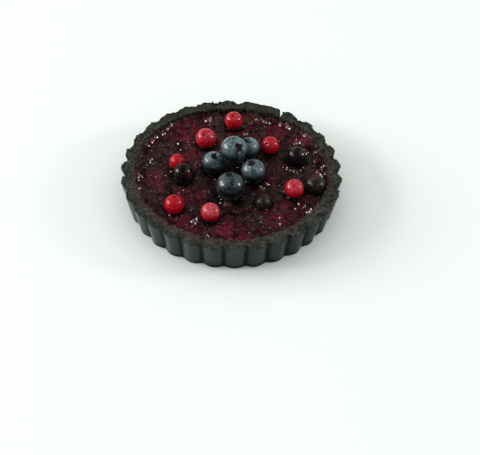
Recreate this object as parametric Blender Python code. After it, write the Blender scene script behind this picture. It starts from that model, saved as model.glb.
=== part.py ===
"""An open berry tart: a fluted shortcrust shell, set berry jelly and sixteen whole berries.

The origin is at the middle of the flat underside, and +Z is up. +Y points to the back of the
tart, where the rim is cracked.
"""

import math

import bmesh
import bpy
from mathutils import Matrix, Vector, noise

MM = 0.001

# The fluted shell
FLUTES = 30
STEPS_PER_FLUTE = 6
FIRST_CREST = math.radians(9.0)
RIM_CREST_RADIUS = 60.4 * MM
BASE_CREST_RADIUS = 55.7 * MM
RIM_FLUTE_DEPTH = 2.4 * MM
BASE_FLUTE_DEPTH = 1.5 * MM
FLUTE_ROUNDNESS = 0.8
SHELL_HEIGHT = 18.8 * MM
BASE_ROUNDING = 0.8 * MM
RIM_ROUNDING = 1.0 * MM
RIM_INNER_RADIUS = 52.3 * MM
RIM_INNER_SHIFT = 0.8 * MM
RIM_INNER_WAVE = 0.45 * MM
RIM_LUMPS = 0.6 * MM
RIM_LUMP_SIZE = 7.0 * MM
FLOOR_THICKNESS = 4.0 * MM
FLOOR_INSET = 1.6 * MM
INNER_LIP = 2.0 * MM

# The crack through the back of the rim
CRACK_ANGLE = math.radians(62.0)
CRACK_TWIST = math.radians(4.0)
CRACK_WIDTH = 1.5 * MM
CRACK_FOOT_WIDTH = 0.8 * MM
CRACK_FOOT = 5.5 * MM
CRACK_LENGTH = 13.0 * MM
CRACK_JOG = 0.35 * MM

# The jelly
GAP = 0.3 * MM
JELLY_LEVEL = 15.4 * MM
JELLY_SWELL = 0.35 * MM
JELLY_SWELL_SIZE = 17.0 * MM
JELLY_CREEP = 0.5 * MM
JELLY_CREEP_REACH = 4.0 * MM
JELLY_RINGS = (0.97, 0.9, 0.8, 0.68, 0.55, 0.42, 0.28, 0.12)
JELLY_SEGMENTS = 60

# Each berry: the centre's x and y, the radius, how far it sinks below the jelly's level (less
# than nothing for the one that lies on top of three others), and the way its eye points.
BLUEBERRIES = (
    ((-0.5, -15.3), 7.95, 1.2, (-0.05, 0.28, 0.96)),
    ((11.8, -1.4), 6.75, 1.3, (-0.18, -0.01, 0.98)),
    ((-9.9, 5.4), 6.15, 1.1, (0.13, -0.18, 0.97)),
    ((9.1, 17.8), 5.95, 0.8, (-0.25, 0.0, 0.97)),
    ((1.0, 7.5), 7.5, -5.5, (0.37, -0.59, 0.71)),
)
RED_BERRIES = (
    ((0.5, 41.7), 5.1, 1.4, (-0.12, -0.28, 0.95)),
    ((-14.6, 25.7), 5.75, 1.4, (-0.12, -0.45, 0.88)),
    ((21.0, 22.0), 5.0, 1.4, (-0.48, -0.53, 0.69)),
    ((-29.7, 8.4), 4.6, 2.6, (0.35, 0.5, 0.79)),
    ((-30.2, -27.2), 5.4, 1.5, (0.04, 0.05, 1.0)),
    ((-10.7, -32.8), 5.25, 1.5, (0.3, 0.65, 0.7)),
    ((34.0, -12.7), 5.3, 1.5, (0.2, 0.75, 0.63)),
)
DARK_BERRIES = (
    ((-26.3, -2.2), 5.35, 1.7, (-0.4, 0.1, 0.91)),
    ((35.5, 13.8), 5.3, 1.6, (-0.3, 0.3, 0.9)),
    ((17.3, -21.6), 4.35, 2.7, (0.2, 0.3, 0.93)),
    ((45.5, -6.7), 6.05, 5.1, (0.25, 0.1, 0.96)),
)

# Turned shape of a berry, as (polar angle in degrees, share of the radius), from the eye down.
BLUEBERRY_TURN = (
    (0, 0.84), (9, 0.84), (15, 0.9), (20, 1.01), (27, 0.985), (40, 1.0), (57, 1.0),
    (75, 1.0), (93, 1.0), (112, 1.0), (132, 1.0), (155, 1.0), (180, 1.0),
)
SMALL_BERRY_TURN = (
    (0, 0.92), (11, 0.95), (24, 1.0), (45, 1.0), (68, 1.0), (91, 1.0), (116, 1.0),
    (146, 1.0), (180, 1.0),
)
BLUEBERRY_SEGMENTS = 20
SMALL_BERRY_SEGMENTS = 14
BLUEBERRY_HEIGHT = 0.95
CROWN_POINTS = 5
CROWN_RING = 3
CROWN_POINT_HEIGHT = 0.03
SMOOTH_ANGLE = math.radians(38.0)


def clear_scene():
    for item in list(bpy.data.objects):
        bpy.data.objects.remove(item, do_unlink=True)


def new_collection(name):
    collection = bpy.data.collections.new(name)
    bpy.context.scene.collection.children.link(collection)
    return collection


def principled(name, colour, roughness, coat=0.0):
    """A plain finish: linear colour, roughness and an optional clear wet coat."""
    material = bpy.data.materials.new(name)
    material.use_nodes = True
    shader = material.node_tree.nodes["Principled BSDF"]
    shader.inputs["Base Color"].default_value = (*colour, 1.0)
    shader.inputs["Roughness"].default_value = roughness
    shader.inputs["Metallic"].default_value = 0.0
    shader.inputs["Coat Weight"].default_value = coat
    material.diffuse_color = (*colour, 1.0)
    return material


def new_part(name, bm, material, collection):
    """One named object from a closed mesh, shaded smooth except at its hard edges."""
    bmesh.ops.recalc_face_normals(bm, faces=bm.faces[:])
    mesh = bpy.data.meshes.new(name)
    bm.to_mesh(mesh)
    bm.free()
    mesh.shade_smooth()
    mesh.set_sharp_from_angle(angle=SMOOTH_ANGLE)
    if material is not None:
        mesh.materials.append(material)
    part = bpy.data.objects.new(name, mesh)
    collection.objects.link(part)
    return part


def new_cutter(name, bm, collection):
    cutter = new_part(name, bm, None, collection)
    cutter.hide_render = True
    cutter.display_type = "WIRE"
    return cutter


def cut(part, cutter):
    boolean = part.modifiers.new("cut by " + cutter.name, "BOOLEAN")
    boolean.operation = "DIFFERENCE"
    boolean.solver = "EXACT"
    boolean.object = cutter


def on_ring(angle, radius, height):
    return Vector((radius * math.cos(angle), radius * math.sin(angle), height))


def flute(angle):
    """0 on a flute's crest and -1 in the crease between two."""
    wave = abs(math.cos(FLUTES * (angle - FIRST_CREST) / 2))
    return wave ** FLUTE_ROUNDNESS - 1


def wall_radius(angle, rise):
    """Outer radius of the fluted wall; rise runs from 0 at the base to 1 at the rim."""
    crest = BASE_CREST_RADIUS + (RIM_CREST_RADIUS - BASE_CREST_RADIUS) * rise
    depth = BASE_FLUTE_DEPTH + (RIM_FLUTE_DEPTH - BASE_FLUTE_DEPTH) * rise
    return crest + depth * flute(angle)


def inner_radius(angle):
    """Inner edge of the rim: a little thicker at the front and slightly wavy."""
    shift = RIM_INNER_SHIFT * math.sin(angle)
    wave = math.sin(3 * angle + 0.6) + 0.7 * math.sin(5 * angle + 2.1)
    return RIM_INNER_RADIUS + shift + RIM_INNER_WAVE * wave / 1.7


def rim_lump(angle, radius):
    """How far the crumbly rim stands below its highest level, never above it."""
    spot = on_ring(angle, radius, 0.0) / RIM_LUMP_SIZE
    return RIM_LUMPS * (noise.noise(spot) - 1.0)


def wall_ring(height, inset=0.0):
    rise = height / (SHELL_HEIGHT - RIM_ROUNDING)
    return lambda angle: on_ring(angle, wall_radius(angle, rise) - inset, height)


def rim_ring(share, height):
    """A ring on top of the rim; share runs from 0 at the inner edge to 1 at the wall."""
    def place(angle):
        inner = inner_radius(angle)
        outer = wall_radius(angle, 1.0) - RIM_ROUNDING
        radius = inner + (outer - inner) * share
        return on_ring(angle, radius, height + rim_lump(angle, radius))
    return place


def inner_ring(inset, height):
    return lambda angle: on_ring(angle, inner_radius(angle) - inset, height)


def stack_rings(rings, segments, first_angle):
    """A closed body: a drum whose two ends are the first two rings, then its top face is
    extruded to each further ring in turn."""
    bm = bmesh.new()
    bmesh.ops.create_cone(bm, cap_ends=True, segments=segments, radius1=1.0, radius2=1.0, depth=1.0)
    turn = Matrix.Rotation(first_angle, 3, "Z")
    bmesh.ops.rotate(bm, verts=bm.verts, matrix=turn)
    caps = sorted((f for f in bm.faces if len(f.verts) == segments),
                  key=lambda face: face.calc_center_median().z)
    for face, ring in zip(caps, rings[:2]):
        for vert in face.verts:
            vert.co = ring(math.atan2(vert.co.y, vert.co.x))
    top = caps[1]
    for ring in rings[2:]:
        top = bmesh.ops.extrude_discrete_faces(bm, faces=[top])["faces"][0]
        for vert in top.verts:
            vert.co = ring(math.atan2(vert.co.y, vert.co.x))
    return bm


def build_crust(material, collection, cutters):
    """The baked shell: fluted outside, with a thick crumbly rim round a recess."""
    rings = (
        wall_ring(0.0, BASE_ROUNDING),
        wall_ring(BASE_ROUNDING),
        wall_ring(SHELL_HEIGHT - RIM_ROUNDING),
        rim_ring(1.0, SHELL_HEIGHT),
        rim_ring(0.45, SHELL_HEIGHT),
        rim_ring(0.06, SHELL_HEIGHT - 0.3 * MM),
        inner_ring(0.0, SHELL_HEIGHT - INNER_LIP),
        inner_ring(FLOOR_INSET, FLOOR_THICKNESS),
    )
    bm = stack_rings(rings, FLUTES * STEPS_PER_FLUTE, FIRST_CREST)
    crust = new_part("crust", bm, material, collection)
    cut(crust, build_crack(cutters))
    return crust


def build_crack(collection):
    """A thin jagged wedge, wider at the top, that splits the rim and stops above the base."""
    top = SHELL_HEIGHT + 2 * MM
    sections = 5
    bm = bmesh.new()
    bmesh.ops.create_grid(bm, x_segments=sections, y_segments=1, size=0.5)
    sheet = bm.faces[:]
    extruded = bmesh.ops.extrude_face_region(bm, geom=sheet, use_keep_orig=True)
    lifted = [item for item in extruded["geom"] if isinstance(item, bmesh.types.BMVert)]
    for vert in lifted:
        vert.co.z = 1.0
    for vert in bm.verts:
        width = CRACK_WIDTH if vert.co.z > 0.5 else CRACK_FOOT_WIDTH
        jog = CRACK_JOG * math.sin(sections * 4.0 * vert.co.x + 2.0 * vert.co.z)
        height = top if vert.co.z > 0.5 else CRACK_FOOT
        vert.co = (vert.co.x * CRACK_LENGTH, vert.co.y * width + jog, height)
    cutter = new_cutter("crack_cutter", bm, collection)
    middle = (RIM_INNER_RADIUS + RIM_CREST_RADIUS) / 2
    cutter.location = on_ring(CRACK_ANGLE, middle, 0.0)
    cutter.rotation_euler = (0.0, 0.0, CRACK_ANGLE + CRACK_TWIST)
    return cutter


def jelly_height(spot):
    """Height of the jelly at a spot: slow swells, and a creep up the shell at its edge."""
    swell = JELLY_SWELL * noise.noise(Vector((spot.x, spot.y, 0.0)) / JELLY_SWELL_SIZE)
    to_edge = inner_radius(math.atan2(spot.y, spot.x)) - spot.xy.length
    creep = JELLY_CREEP * max(0.0, 1.0 - to_edge / JELLY_CREEP_REACH) ** 2
    return JELLY_LEVEL + swell + creep


def jelly_ring(share):
    def place(angle):
        spot = on_ring(angle, (inner_radius(angle) - GAP) * share, 0.0)
        spot.z = jelly_height(spot)
        return spot
    return place


def build_jelly(material, collection, pockets):
    """The set berry jelly that fills the shell, with a pocket under each sunk berry."""
    rings = [inner_ring(FLOOR_INSET + GAP, FLOOR_THICKNESS + GAP), jelly_ring(1.0)]
    rings += [jelly_ring(share) for share in JELLY_RINGS]
    bm = stack_rings(rings, JELLY_SEGMENTS, 0.0)
    jelly = new_part("jelly", bm, material, collection)
    for pocket in pockets:
        cut(jelly, pocket)
    return jelly


def turned_berry(turn, segments, radius, height=1.0, crown=0.0):
    """A ball whose rings are moved to a turned outline, with a dimple or crown at its eye."""
    rings = len(turn) - 1
    bm = bmesh.new()
    bmesh.ops.create_uvsphere(bm, u_segments=segments, v_segments=rings, radius=1.0)
    for vert in bm.verts:
        ring = round(vert.co.angle(Vector((0, 0, 1))) / math.pi * rings)
        around = math.atan2(vert.co.y, vert.co.x)
        polar, share = turn[ring]
        if ring == CROWN_RING:
            share += crown * math.cos(CROWN_POINTS * around)
        flat = radius * share * math.sin(math.radians(polar))
        rise = radius * share * math.cos(math.radians(polar)) * height
        vert.co = on_ring(around, flat, rise)
    return bm


def place_berry(part, spot, radius, sunk, eye):
    """Sets a berry down so that its foot is sunk below the jelly's level, eye turned."""
    part.location = (spot[0] * MM, spot[1] * MM, JELLY_LEVEL + (radius - sunk) * MM)
    part.rotation_mode = "QUATERNION"
    part.rotation_quaternion = Vector(eye).to_track_quat("Z", "Y")


def build_berries(name, berries, shape, material, collection, cutters):
    """A set of like berries, and a pocket cutter for each that reaches into the jelly."""
    pockets = []
    for number, (spot, radius, sunk, eye) in enumerate(berries, start=1):
        berry = new_part(f"{name}_{number}", shape(radius * MM), material, collection)
        place_berry(berry, spot, radius, sunk, eye)
        if sunk > 0:
            pocket = new_cutter(f"{name}_pocket_{number}", shape(radius * MM + GAP), cutters)
            place_berry(pocket, spot, radius, sunk, eye)
            pockets.append(pocket)
    return pockets


def blueberry_shape(radius):
    return turned_berry(BLUEBERRY_TURN, BLUEBERRY_SEGMENTS, radius, BLUEBERRY_HEIGHT,
                        CROWN_POINT_HEIGHT)


def small_berry_shape(radius):
    return turned_berry(SMALL_BERRY_TURN, SMALL_BERRY_SEGMENTS, radius)


def main():
    clear_scene()
    tart = new_collection("berry_tart")
    cutters = new_collection("cutters")
    shortcrust = principled("cocoa shortcrust", (0.026, 0.030, 0.028), 0.7)
    set_jelly = principled("set berry jelly", (0.045, 0.004, 0.010), 0.15, coat=1.0)
    blue_skin = principled("bloomed blueberry skin", (0.036, 0.062, 0.080), 0.45)
    red_skin = principled("red berry skin", (0.45, 0.007, 0.022), 0.25, coat=0.6)
    dark_skin = principled("dark berry skin", (0.006, 0.004, 0.005), 0.15, coat=1.0)
    build_crust(shortcrust, tart, cutters)
    pockets = build_berries("blueberry", BLUEBERRIES, blueberry_shape, blue_skin, tart, cutters)
    pockets += build_berries("red_berry", RED_BERRIES, small_berry_shape, red_skin, tart, cutters)
    pockets += build_berries("dark_berry", DARK_BERRIES, small_berry_shape, dark_skin, tart, cutters)
    build_jelly(set_jelly, tart, pockets)


main()
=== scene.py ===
"""The looks of a small open berry tart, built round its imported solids.

A fluted cocoa shortcrust shell with a crumbly rim, wet berry jelly with fruit sunk in it, and
whole blueberries, red berries and dark berries on top.
"""

import math

import bpy
import numpy as np
from bpy.props import FloatProperty, FloatVectorProperty, IntProperty, PointerProperty
from mathutils import Matrix, Vector, noise


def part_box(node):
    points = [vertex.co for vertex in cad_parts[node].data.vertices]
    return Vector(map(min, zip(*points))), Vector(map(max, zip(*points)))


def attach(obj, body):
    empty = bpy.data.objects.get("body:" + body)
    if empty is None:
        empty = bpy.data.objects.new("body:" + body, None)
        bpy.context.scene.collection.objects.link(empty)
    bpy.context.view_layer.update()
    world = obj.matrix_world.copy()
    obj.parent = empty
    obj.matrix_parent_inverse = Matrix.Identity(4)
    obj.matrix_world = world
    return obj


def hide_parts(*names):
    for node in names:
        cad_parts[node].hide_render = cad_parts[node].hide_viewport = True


bl_info = {
    "name": "Berry tart",
    "version": (1, 0, 0),
    "blender": (4, 5, 0),
    "location": "3D View > Sidebar > Tart",
    "description": "Builds the pieces of an open berry tart round its packed solids",
    "category": "Add Mesh",
}

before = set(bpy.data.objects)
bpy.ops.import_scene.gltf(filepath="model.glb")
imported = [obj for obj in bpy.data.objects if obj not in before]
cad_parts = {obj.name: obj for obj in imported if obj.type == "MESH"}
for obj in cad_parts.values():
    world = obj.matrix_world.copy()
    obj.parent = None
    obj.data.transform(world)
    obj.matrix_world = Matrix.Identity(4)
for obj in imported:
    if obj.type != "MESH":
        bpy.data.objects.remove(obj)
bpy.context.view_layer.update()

MM = 0.001
FULL_TURN = 2 * math.pi
MERGE = 0.002 * MM

# A Mix node names its inputs for numbers and for colours alike, so they are given by place:
# the share, the first and second number, and the colour that lies under and over.
SHARE, FIRST, SECOND, UNDER, OVER = 0, 2, 3, 6, 7


def linear(code):
    """An sRGB hex colour such as "#2f332f" as linear red, green, blue and alpha."""
    shares = [int(code[i:i + 2], 16) / 255 for i in (1, 3, 5)]
    return (*(s / 12.92 if s <= 0.04045 else ((s + 0.055) / 1.055) ** 2.4 for s in shares), 1.0)


# ---------------------------------------------------------------------------------------
# What the frame says


def node_ball(node):
    """Centre and radius of a berry's solid."""
    low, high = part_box(node)
    size = high - low
    return (low + high) / 2, (size.x + size.y) / 4


def nodes_called(start):
    return sorted(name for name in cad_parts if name.startswith(start))


CRUST_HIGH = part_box("crust")[1]
BLUEBERRIES = nodes_called("blueberry_")
RED_BERRIES = nodes_called("red_berry_")
DARK_BERRIES = nodes_called("dark_berry_")
BERRIES = BLUEBERRIES + RED_BERRIES + DARK_BERRIES
JELLY_LEVEL = 15.4 * MM

# The way each berry's eye points, in the order of its number.
BLUEBERRY_EYES = (
    (-0.05, 0.28, 0.96),
    (-0.18, -0.01, 0.98),
    (0.13, -0.18, 0.97),
    (-0.25, 0.0, 0.97),
    (0.37, -0.59, 0.71),
)
RED_BERRY_EYES = (
    (-0.12, -0.28, 0.95),
    (-0.12, -0.45, 0.88),
    (-0.48, -0.53, 0.69),
    (0.35, 0.5, 0.79),
    (0.04, 0.05, 1.0),
    (0.3, 0.65, 0.7),
    (0.2, 0.75, 0.63),
)
DARK_BERRY_EYES = (
    (-0.4, 0.1, 0.91),
    (-0.3, 0.3, 0.9),
    (0.2, 0.3, 0.93),
    (0.25, 0.1, 0.96),
)


# ---------------------------------------------------------------------------------------
# Fixed values

# The shell: how full its flutes are, its roundings, and its hidden floor. The rim is broken
# crumb above its line, stands out by the overhang, and has creases where the flutes end.
FLUTE_ROUNDNESS = 1.25
RIM_ROUNDING = 0.7 * MM
HEADROOM = 0.2 * MM
BASE_ROUNDING = 1.1 * MM
FLOOR_THICKNESS = 4.0 * MM
FLOOR_INSET = 1.6 * MM
RIM_LINE = 17.3 * MM
OVERHANG = 0.45 * MM
RIM_CREASE = 1.0 * MM

# Where the rim turns down and where the wall begins, in shares of the way from the inner edge
TURN_DOWN = 0.93
WALL_START = 0.9

# Holes in the rim, pits in the wall, and the wall's upright drags and slow sway
HOLE_DEPTH = 0.55 * MM
PIT_DEPTH = 0.45 * MM
DRAG_DEPTH = 0.06 * MM
SWAY_DEPTH = 0.15 * MM
SHARPEST_SMOOTHED = math.radians(75.0)

# The slab beside the crack, and the back left, where the flutes are rubbed shallow
SLAB_MIDDLE = math.radians(72.0)
SLAB_HALF = math.radians(8.5)
WORN_MIDDLE = math.radians(128.0)
WORN_HALF = math.radians(34.0)
WORN_SHARE = 0.5

# The crack through the rim: where it is and how it slants about its middle, how jagged it is,
# and how far above the base it ends
CRACK_ANGLE = math.radians(62.0)
CRACK_TWIST = math.radians(8.0)
CRACK_MIDDLE = 56 * MM
CRACK_JAG = 0.35 * MM
CRACK_FOOT = 5.5 * MM

# The loose crumbs: how many, the least size and the most that is added to it. Juice soaked
# furthest into the rim on the juicy side.
CRUMBS = 1300
CRUMB_LEAST = 0.28 * MM
CRUMB_EXTRA = 0.55 * MM
CRUMB_SEED = 41
JUICY_SIDE = math.radians(235.0)

# The jelly: how far it runs into the shell, how wide shade is painted black round the
# blueberries, the other berries and the dark ones, and how dark its pools are, which lie at
# random
JELLY_OVERLAP = 0.6 * MM
BLUEBERRY_SHADE = 3.5 * MM
BERRY_SHADE = 1.6 * MM
DARK_MOAT = 1.3 * MM
POOL_DARKNESS = 0.75

# The ring of glaze at a berry: its reach, the ridge round a dark berry, its climb, how far it
# goes down and in where it is hidden, and the steps of its outline in shares of the reach
RING_REACH = 1.8 * MM
RING_RIDGE = 0.45 * MM
RING_RISE = 0.45 * MM
RING_FOOT = 0.8 * MM
RING_INSIDE = 0.9 * MM
RING_SHARES = (0.0, 0.08, 0.18, 0.3, 0.42, 0.52, 0.6, 0.7, 0.8, 0.88, 1.0)
RING_COLUMNS = 72

# Chips: how many are tried that lie alone, how far out in mm, the least size in mm and the most
# that is added to it for lone and for grouped ones, and their length, width and thickness
LONE_CHIPS = 260
CHIP_FIELD = 50
LONE_CHIP = (0.35, 0.4)
GROUPED_CHIP = (0.8, 0.6)
CHIP_SHAPE = (1.0, 0.8, 0.09)
CHIP_SEED = 7

# Pips, in the same way
PIP_TRIES = 900
PIP_FIELD = 51 * MM
PIP = (0.32, 0.22)
PIP_SHAPE = (1.0, 0.65, 0.5)
PIP_SEED = 23

# Fruit sunk in the jelly: its middle, radius and rise in mm, and its tint, from 1 for red
# flesh to -1 for brown skin.
SUNK_FRUIT = (
    ((41.2, 29.5), 4.6, 2.3, 0.55),
    ((-43.5, -17.0), 4.4, 0.9, -0.4),
    ((-18.6, 8.2), 3.0, 1.2, -1.0),
    ((-1.5, -22.0), 2.6, 1.0, -0.8),
    ((6.4, 48.0), 2.8, 0.9, -0.6),
    ((12.5, 44.6), 2.8, 1.1, 0.5),
    ((-6.5, 30.5), 3.2, 0.9, -0.7),
    ((33.0, 24.0), 2.6, 0.7, -0.5),
    ((-24.0, 30.0), 3.0, 0.7, 0.2),
    ((-8.0, -24.5), 2.2, 0.7, -0.5),
)

# Where red flesh lies under the glaze, and where brown skins and pips do: middle and reach in mm.
RED_AREAS = (
    ((-27.7, 36.5), 8.0),
    ((4.5, 40.3), 6.0),
    ((24.6, 38.5), 6.5),
    ((-43.7, -5.0), 6.5),
    ((-22.7, -17.0), 8.0),
    ((-27.4, -35.0), 9.0),
    ((25.8, -29.2), 8.0),
    ((20.3, -1.9), 3.5),
    ((1.4, -43.9), 9.0),
    ((-21.6, 19.3), 5.5),
    ((47.5, 1.5), 3.0),
    ((37.9, 29.0), 5.0),
    ((-6.0, 26.0), 4.0),
)
BROWN_AREAS = (
    ((-16.1, -0.8), 4.5),
    ((-8.8, -11.7), 4.5),
    ((10.2, -18.9), 5.5),
    ((13.0, -33.6), 5.0),
    ((17.5, 13.4), 4.5),
    ((33.4, 5.9), 6.0),
    ((42.1, 11.9), 5.0),
    ((-10.9, 33.0), 5.0),
    ((-6.2, 43.2), 5.0),
    ((-45.4, 8.6), 5.5),
    ((-37.0, 19.5), 6.5),
    ((-24.1, -5.9), 5.0),
    ((28.0, -12.0), 5.0),
    ((27.0, 20.0), 4.5),
)

# Fruit skins that lie flat just under the surface, in mm: the middle, how far each reaches, and
# its tint, from 1 for clear amber to -1 for cloudy grey.
PEELS = (
    ((9.5, 49.5), 3.4, 1.0),
    ((6.8, 46.5), 2.6, 1.0),
    ((6.2, 41.3), 1.6, -0.8),
    ((9.8, 43.8), 1.8, -0.9),
    ((13.4, 46.6), 1.8, -0.8),
    ((-8.0, 47.5), 2.6, -0.45),
    ((-11.0, 43.3), 2.6, -0.4),
)

# Wet chips that stand out of the jelly and catch the light: the middle of each group in mm, how
# many, and how spread.
CHIP_GROUPS = (
    ((-12.0, 46.0), 8, 1.5),
    ((36.7, 28.1), 5, 0.9),
    ((16.7, -9.8), 6, 0.9),
    ((19.5, -5.5), 3, 0.7),
    ((-19.2, -35.9), 4, 1.0),
    ((-12.0, -47.1), 2, 0.4),
    ((-20.8, -26.7), 3, 0.9),
    ((43.0, -28.4), 7, 1.6),
    ((-44.4, 11.1), 4, 1.0),
    ((-48.7, -12.4), 3, 0.8),
    ((-32.7, 5.0), 2, 0.5),
    ((7.3, 35.3), 3, 0.8),
    ((14.5, 47.0), 5, 1.4),
    ((19.0, 45.0), 3, 1.0),
    ((27.2, 43.4), 5, 0.8),
    ((31.4, 40.1), 5, 0.8),
    ((-34.5, 40.0), 4, 0.4),
    ((-36.0, 37.6), 5, 0.5),
    ((-38.6, 34.0), 7, 0.6),
    ((-42.0, 30.0), 5, 0.5),
    ((-44.4, 26.8), 6, 0.5),
    ((-46.6, 22.6), 6, 0.6),
    ((-49.5, -3.0), 5, 1.8),
    ((48.5, 4.0), 6, 1.6),
    ((24.0, -35.0), 1, 2.0),
    ((36.0, -22.0), 2, 2.0),
    ((-30.0, 22.0), 1, 2.0),
    ((46.5, 14.0), 4, 1.2),
    ((27.8, 11.3), 1, 0.2),
    ((28.7, 9.0), 1, 0.2),
    ((30.2, 7.1), 2, 0.3),
    ((32.0, 5.7), 2, 0.3),
    ((33.9, 5.3), 1, 0.2),
    ((37.7, 5.6), 1, 0.2),
    ((41.6, 20.4), 2, 0.5),
    ((46.2, 20.2), 3, 0.7),
    ((48.3, 15.6), 3, 0.7),
    ((49.2, 9.9), 3, 0.7),
    ((49.1, 1.6), 3, 0.4),
    ((41.0, 33.5), 3, 1.0),
)

# The directions of the two small lights, and how steeply and which way a chip leans to mirror
# one of them. A light reaches a spot if it clears the rim, which is this far out.
CHIP_LIGHTS = ((-0.85, -0.2, 0.5), (0.93, 0.05, 0.36))
CHIP_SLOPE = math.radians(47.0)
CHIP_TURNS = (math.radians(227.0), math.radians(324.0))
CHIP_SWAY = 0.03
RIM_REACH = 52 * MM

# The berries. Where a row has a number for each berry, it is in the order of their numbers: how
# each blueberry is turned, how thick its bloom is, and at what upward lean of its skin the bloom
# gives way to painted shade; how much pale frosting and painted sheen each red berry has; and
# how flecked and how dull each dark berry is.
MODEL_RADIUS = 6.0 * MM
CROWN_FLAPS = 5
BLUEBERRY_SPINS = (0.4, 1.1, 2.0, 0.0, 0.3)
BLUEBERRY_BLOOM = (0.45, 0.95, 0.95, 1.1, 1.0)
BLUEBERRY_SHADE_LINE = (0.25, -0.1, -0.1, -0.2, -0.15)
RED_BERRY_FROST_AND_SHEEN = (0.07, 0.14, 0.05, 0.05, 0.02, 0.28, 0.14)
DARK_BERRY_FLECKS = (0.8, 0.3, 0.4, 1.5)
DARK_BERRY_DULL = (0.0, 0.1, 0.6, 0.45)

# The stage: the picture and where the tart's origin lies in it, and the strength of the room's
# light on matt things and in mirrored gloss
PICTURE = (480, 455)
PIXELS_PER_RADIAN = 2188.0
ORIGIN_PIXEL = (230.85, 197.05)
AIR_LOW = 0.5
AIR_HIGH = 0.88
MIRRORED_BACK = 0.14
MIRRORED_FRONT = 0.04
MIRRORED_GLOW = 0.9
MIRRORED_BACKDROP = 0.7
SEEN_AIR = 0.93
AIR_COLOUR = (0.97, 1.0, 0.98, 1.0)

# The lights: name, direction, distance, width, height and strength
STUDIO_LIGHTS = (
    ("softbox_left", CHIP_LIGHTS[0], 2.4, 0.45, 0.45, 16.0),
    ("panel_left", (-0.93, 0.12, 0.36), 2.6, 1.5, 0.9, 8.5),
    ("softbox_right", CHIP_LIGHTS[1], 2.5, 0.42, 0.42, 27.0),
)


# ---------------------------------------------------------------------------------------
# Settings. Each helper makes one kind from its name, what it says to the user, and its default.


def in_mm(name, text, millimetres):
    return FloatProperty(name=name, description=text, default=millimetres * MM, unit="LENGTH",
                         precision=4)


def in_degrees(name, text, degrees):
    return FloatProperty(name=name, description=text, default=math.radians(degrees),
                         subtype="ANGLE")


def as_share(name, text, default):
    return FloatProperty(name=name, description=text, default=default)


def as_count(name, text, default):
    return IntProperty(name=name, description=text, default=default)


def as_colour(name, text, code):
    return FloatVectorProperty(name=name, description=text, size=4, subtype="COLOR",
                               min=0.0, max=1.0, default=linear(code))


class CrustSettings(bpy.types.PropertyGroup):
    columns: as_count("Columns", "Steps round the shell", 960)
    flutes: as_count("Flutes", "Flutes round the shell", 30)
    first_crest: in_degrees("First crest", "Angle of a flute's crest", 9.0)
    rim_radius: in_mm("Rim radius", "Over the flutes' crests at the rim", 60.2)
    base_radius: in_mm("Base radius", "Over the flutes' crests at the base", 56.1)
    rim_depth: in_mm("Flute depth at the rim", "From crest to crease", 2.6)
    base_depth: in_mm("Flute depth at the base", "From crest to crease", 1.9)
    inner_radius: in_mm("Inner radius", "Middle radius of the rim's inner edge", 52.3)
    inner_shift: in_mm("Inner shift", "How far the inner edge sits to the back", 0.8)
    inner_wave: in_mm("Inner wave", "How far the inner edge wanders", 0.45)
    inner_crumb: in_mm("Inner crumbs", "How ragged the inner edge is", 0.9)
    big_lump: in_mm("Big lumps", "Height of the rim's big lumps", 0.6)
    crumb: in_mm("Crumbs", "Height of the rim's crumbs", 0.6)
    fine_crumb: in_mm("Fine crumbs", "Height of the fine crumbs", 0.2)
    crack_width: in_mm("Crack width", "Width of the crack through the rim", 2.1)
    wall_colour: as_colour("Wall", "Shortcrust that the tin pressed smooth", "#161d1d")
    rim_colour: as_colour("Rim", "Broken shortcrust of the rim", "#292a24")
    grain_colour: as_colour("Grain", "Pale grains in the crust", "#68675b")
    pore_colour: as_colour("Pores", "Shadowed pores of the crust", "#080a0a")
    stain_colour: as_colour("Stain", "Crumb that soaked up jelly", "#4e1a1c")


class JellySettings(bpy.types.PropertyGroup):
    columns: as_count("Columns", "Steps round the jelly", 620)
    rings: as_count("Rings", "Rings from the middle to the edge", 118)
    swell: in_mm("Swell", "Height of the slow swells", 0.35)
    ripple: in_mm("Ripples", "Height of the ripples in the glaze", 0.45)
    pieces: in_mm("Fruit pieces", "Height of the pieces of fruit under the glaze", 0.75)
    pulp: in_mm("Pulp", "Height of the fine pulp", 0.4)
    creep: in_mm("Creep", "How far the jelly climbs what it touches", 1.1)
    creep_reach: in_mm("Creep reach", "How far out the climb runs", 0.75)
    flesh_colour: as_colour("Flesh", "Red fruit under a thin skin of jelly", "#670a24")
    deep_colour: as_colour("Deep", "Thick dark jelly", "#280b11")
    seed_colour: as_colour("Seeds and skins", "Brown skins and seeds in the jelly", "#2b211b")
    # Painted glints: these pale grains stand in for the tiny glints of the wet gloss.
    painted_glint_colour: as_colour("Grit", "Pale grains of pulp", "#a39089")
    amber_colour: as_colour("Clear skins", "Skins that lie clear under the surface", "#4a1d18")
    cloudy_colour: as_colour("Cloudy skins", "Skins that lie cloudy under the surface", "#55473f")
    # Painted shade round the berries; it also colours the dark pools and the dark specks.
    shade_colour: as_colour("Shade", "Black jelly among the berries", "#050304")
    pip_colour: as_colour("Pips", "Pips of the berries", "#6a5547")
    fruit_colour: as_colour("Sunk fruit", "Red flesh of sunk fruit", "#5a1c23")
    skin_colour: as_colour("Sunk skins", "Brown skin of sunk fruit", "#43302a")


class BlueberrySettings(bpy.types.PropertyGroup):
    columns: as_count("Columns", "Steps round a blueberry", 120)
    height: as_share("Height", "Height over width", 0.95)
    crown_angle: in_degrees("Crown angle", "Half the angle over the crown", 23.0)
    crown_depth: as_share("Crown depth", "Crater depth over radius", 0.26)
    skin_colour: as_colour("Skin", "Bare skin", "#070c0e")
    bloom_colour: as_colour("Bloom", "Waxy bloom on the skin", "#6f8890")
    haze_colour: as_colour("Haze", "Bloom seen edge on", "#8fb3b5")
    crown_colour: as_colour("Crown", "Inside of the crown", "#030506")


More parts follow.
